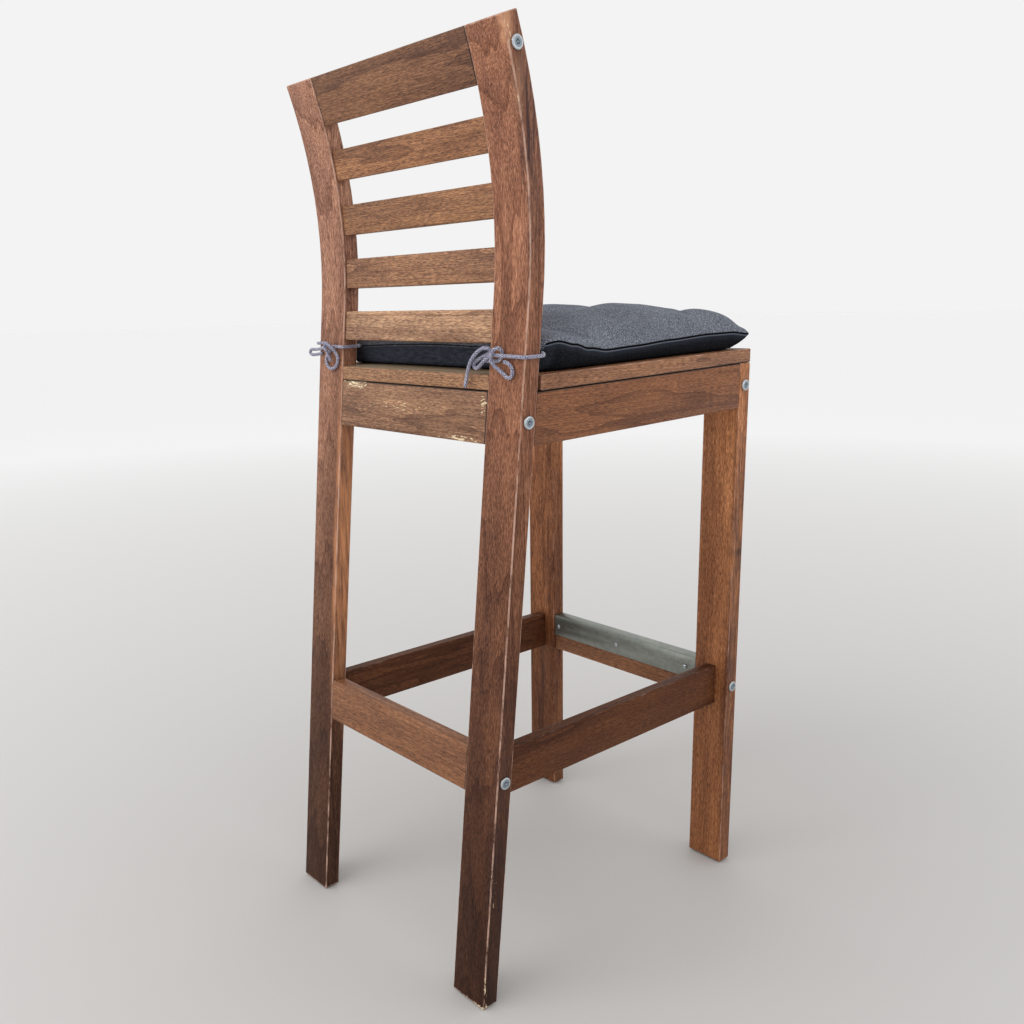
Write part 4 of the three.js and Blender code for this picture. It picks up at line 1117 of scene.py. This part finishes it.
def guard_screw(node):
    """A small round-headed screw in place of its CAD node, with its head to the rear."""
    low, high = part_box(node)
    middle = (low + high) / 2
    profile = [
        (0.3 * MM, -SCREW_LENGTH),
        (SCREW_RADIUS, SCREW_TIP - SCREW_LENGTH),
        (SCREW_RADIUS, -0.1 * MM),
        (SCREW_HEAD_RADIUS - 0.2 * MM, 0),
        *rounded(SCREW_HEAD_RADIUS, 1.6 * MM, 1.3 * MM),
        (2.2 * MM, 1.75 * MM),
    ]
    seat = (middle.x, high.y - SCREW_HEAD_HEIGHT, middle.z)
    piece = turned(node + "_turned", seat, (0, 1, 0), profile,
                   hole=(cross(SCREW_CROSS, SCREW_CROSS_WEB), SCREW_CROSS_DEPTH))
    stands_for(piece, node)


for name in sorted(NODES):
    if "_bolt_" in name:
        bolt(name)
    if "guard_screw" in name:
        guard_screw(name)
    if "barrel_nut" in name:
        dress(NODES[name], ZINC)
        round_edges(NODES[name], NUT_EDGE)
    if name.endswith("glide"):
        dress(NODES[name], glide_plastic())
        round_edges(NODES[name], GLIDE_EDGE)
dress(NODES["footrest_guard"], galvanised())
round_edges(NODES["footrest_guard"], GUARD_EDGE)


# ------------------------------------------------------------------ floor and light
FLOOR_HALF = 40
LIGHTS_AIM = (0, 0, 0.6)


def floor_paint():
    """Light grey under the stool, and nearly white far from it, so that no horizon shows."""
    n = Nodes("floor")
    away = n.add("VectorMath", {0: n.object_place()}, operation="LENGTH").outputs["Value"]
    near, far = (0.56, 0.545, 0.53, 1), grey(0.99)
    tone = n.ramp(n.spread(away, 0.3, 5.0), (0.0, near), (1.0, far))
    return n.finish(Base_Color=tone, Roughness=0.6, Specular_IOR_Level=0.2)


def floor():
    """A plain floor that is only part of the stage."""
    signs = ((-1, -1), (1, -1), (1, 1), (-1, 1))
    points = [(x * FLOOR_HALF, y * FLOOR_HALF, 0) for x, y in signs]
    mesh = mesh_of("floor", points, [(0, 1, 2, 3)])
    new_object("floor", mesh, floor_paint())


def area_light(name, place, size, power):
    """A square light aimed at the middle of the stool, with its size in metres and its power
    in watts."""
    data = bpy.data.lights.new(name, "AREA")
    data.shape = "SQUARE"
    data.size = size
    data.energy = power
    light = bpy.data.objects.new(name, data)
    bpy.context.collection.objects.link(light)
    turn = (Vector(LIGHTS_AIM) - Vector(place)).to_track_quat("-Z", "Y").to_matrix().to_4x4()
    light.matrix_world = Matrix.Translation(place) @ turn


def world_light():
    """Even, nearly white light from all around."""
    world = bpy.data.worlds.new("world")
    world.use_nodes = True
    background = world.node_tree.nodes["Background"]
    background.inputs["Color"].default_value = rgb(243, 243, 243)
    background.inputs["Strength"].default_value = 1.0
    bpy.context.scene.world = world


floor()
world_light()
area_light("key", place=(0.6, 2.4, 2.6), size=2.0, power=30)
area_light("side", place=(-2.6, -1.3, 1.5), size=1.6, power=6)
bpy.context.scene.view_settings.view_transform = "Standard"
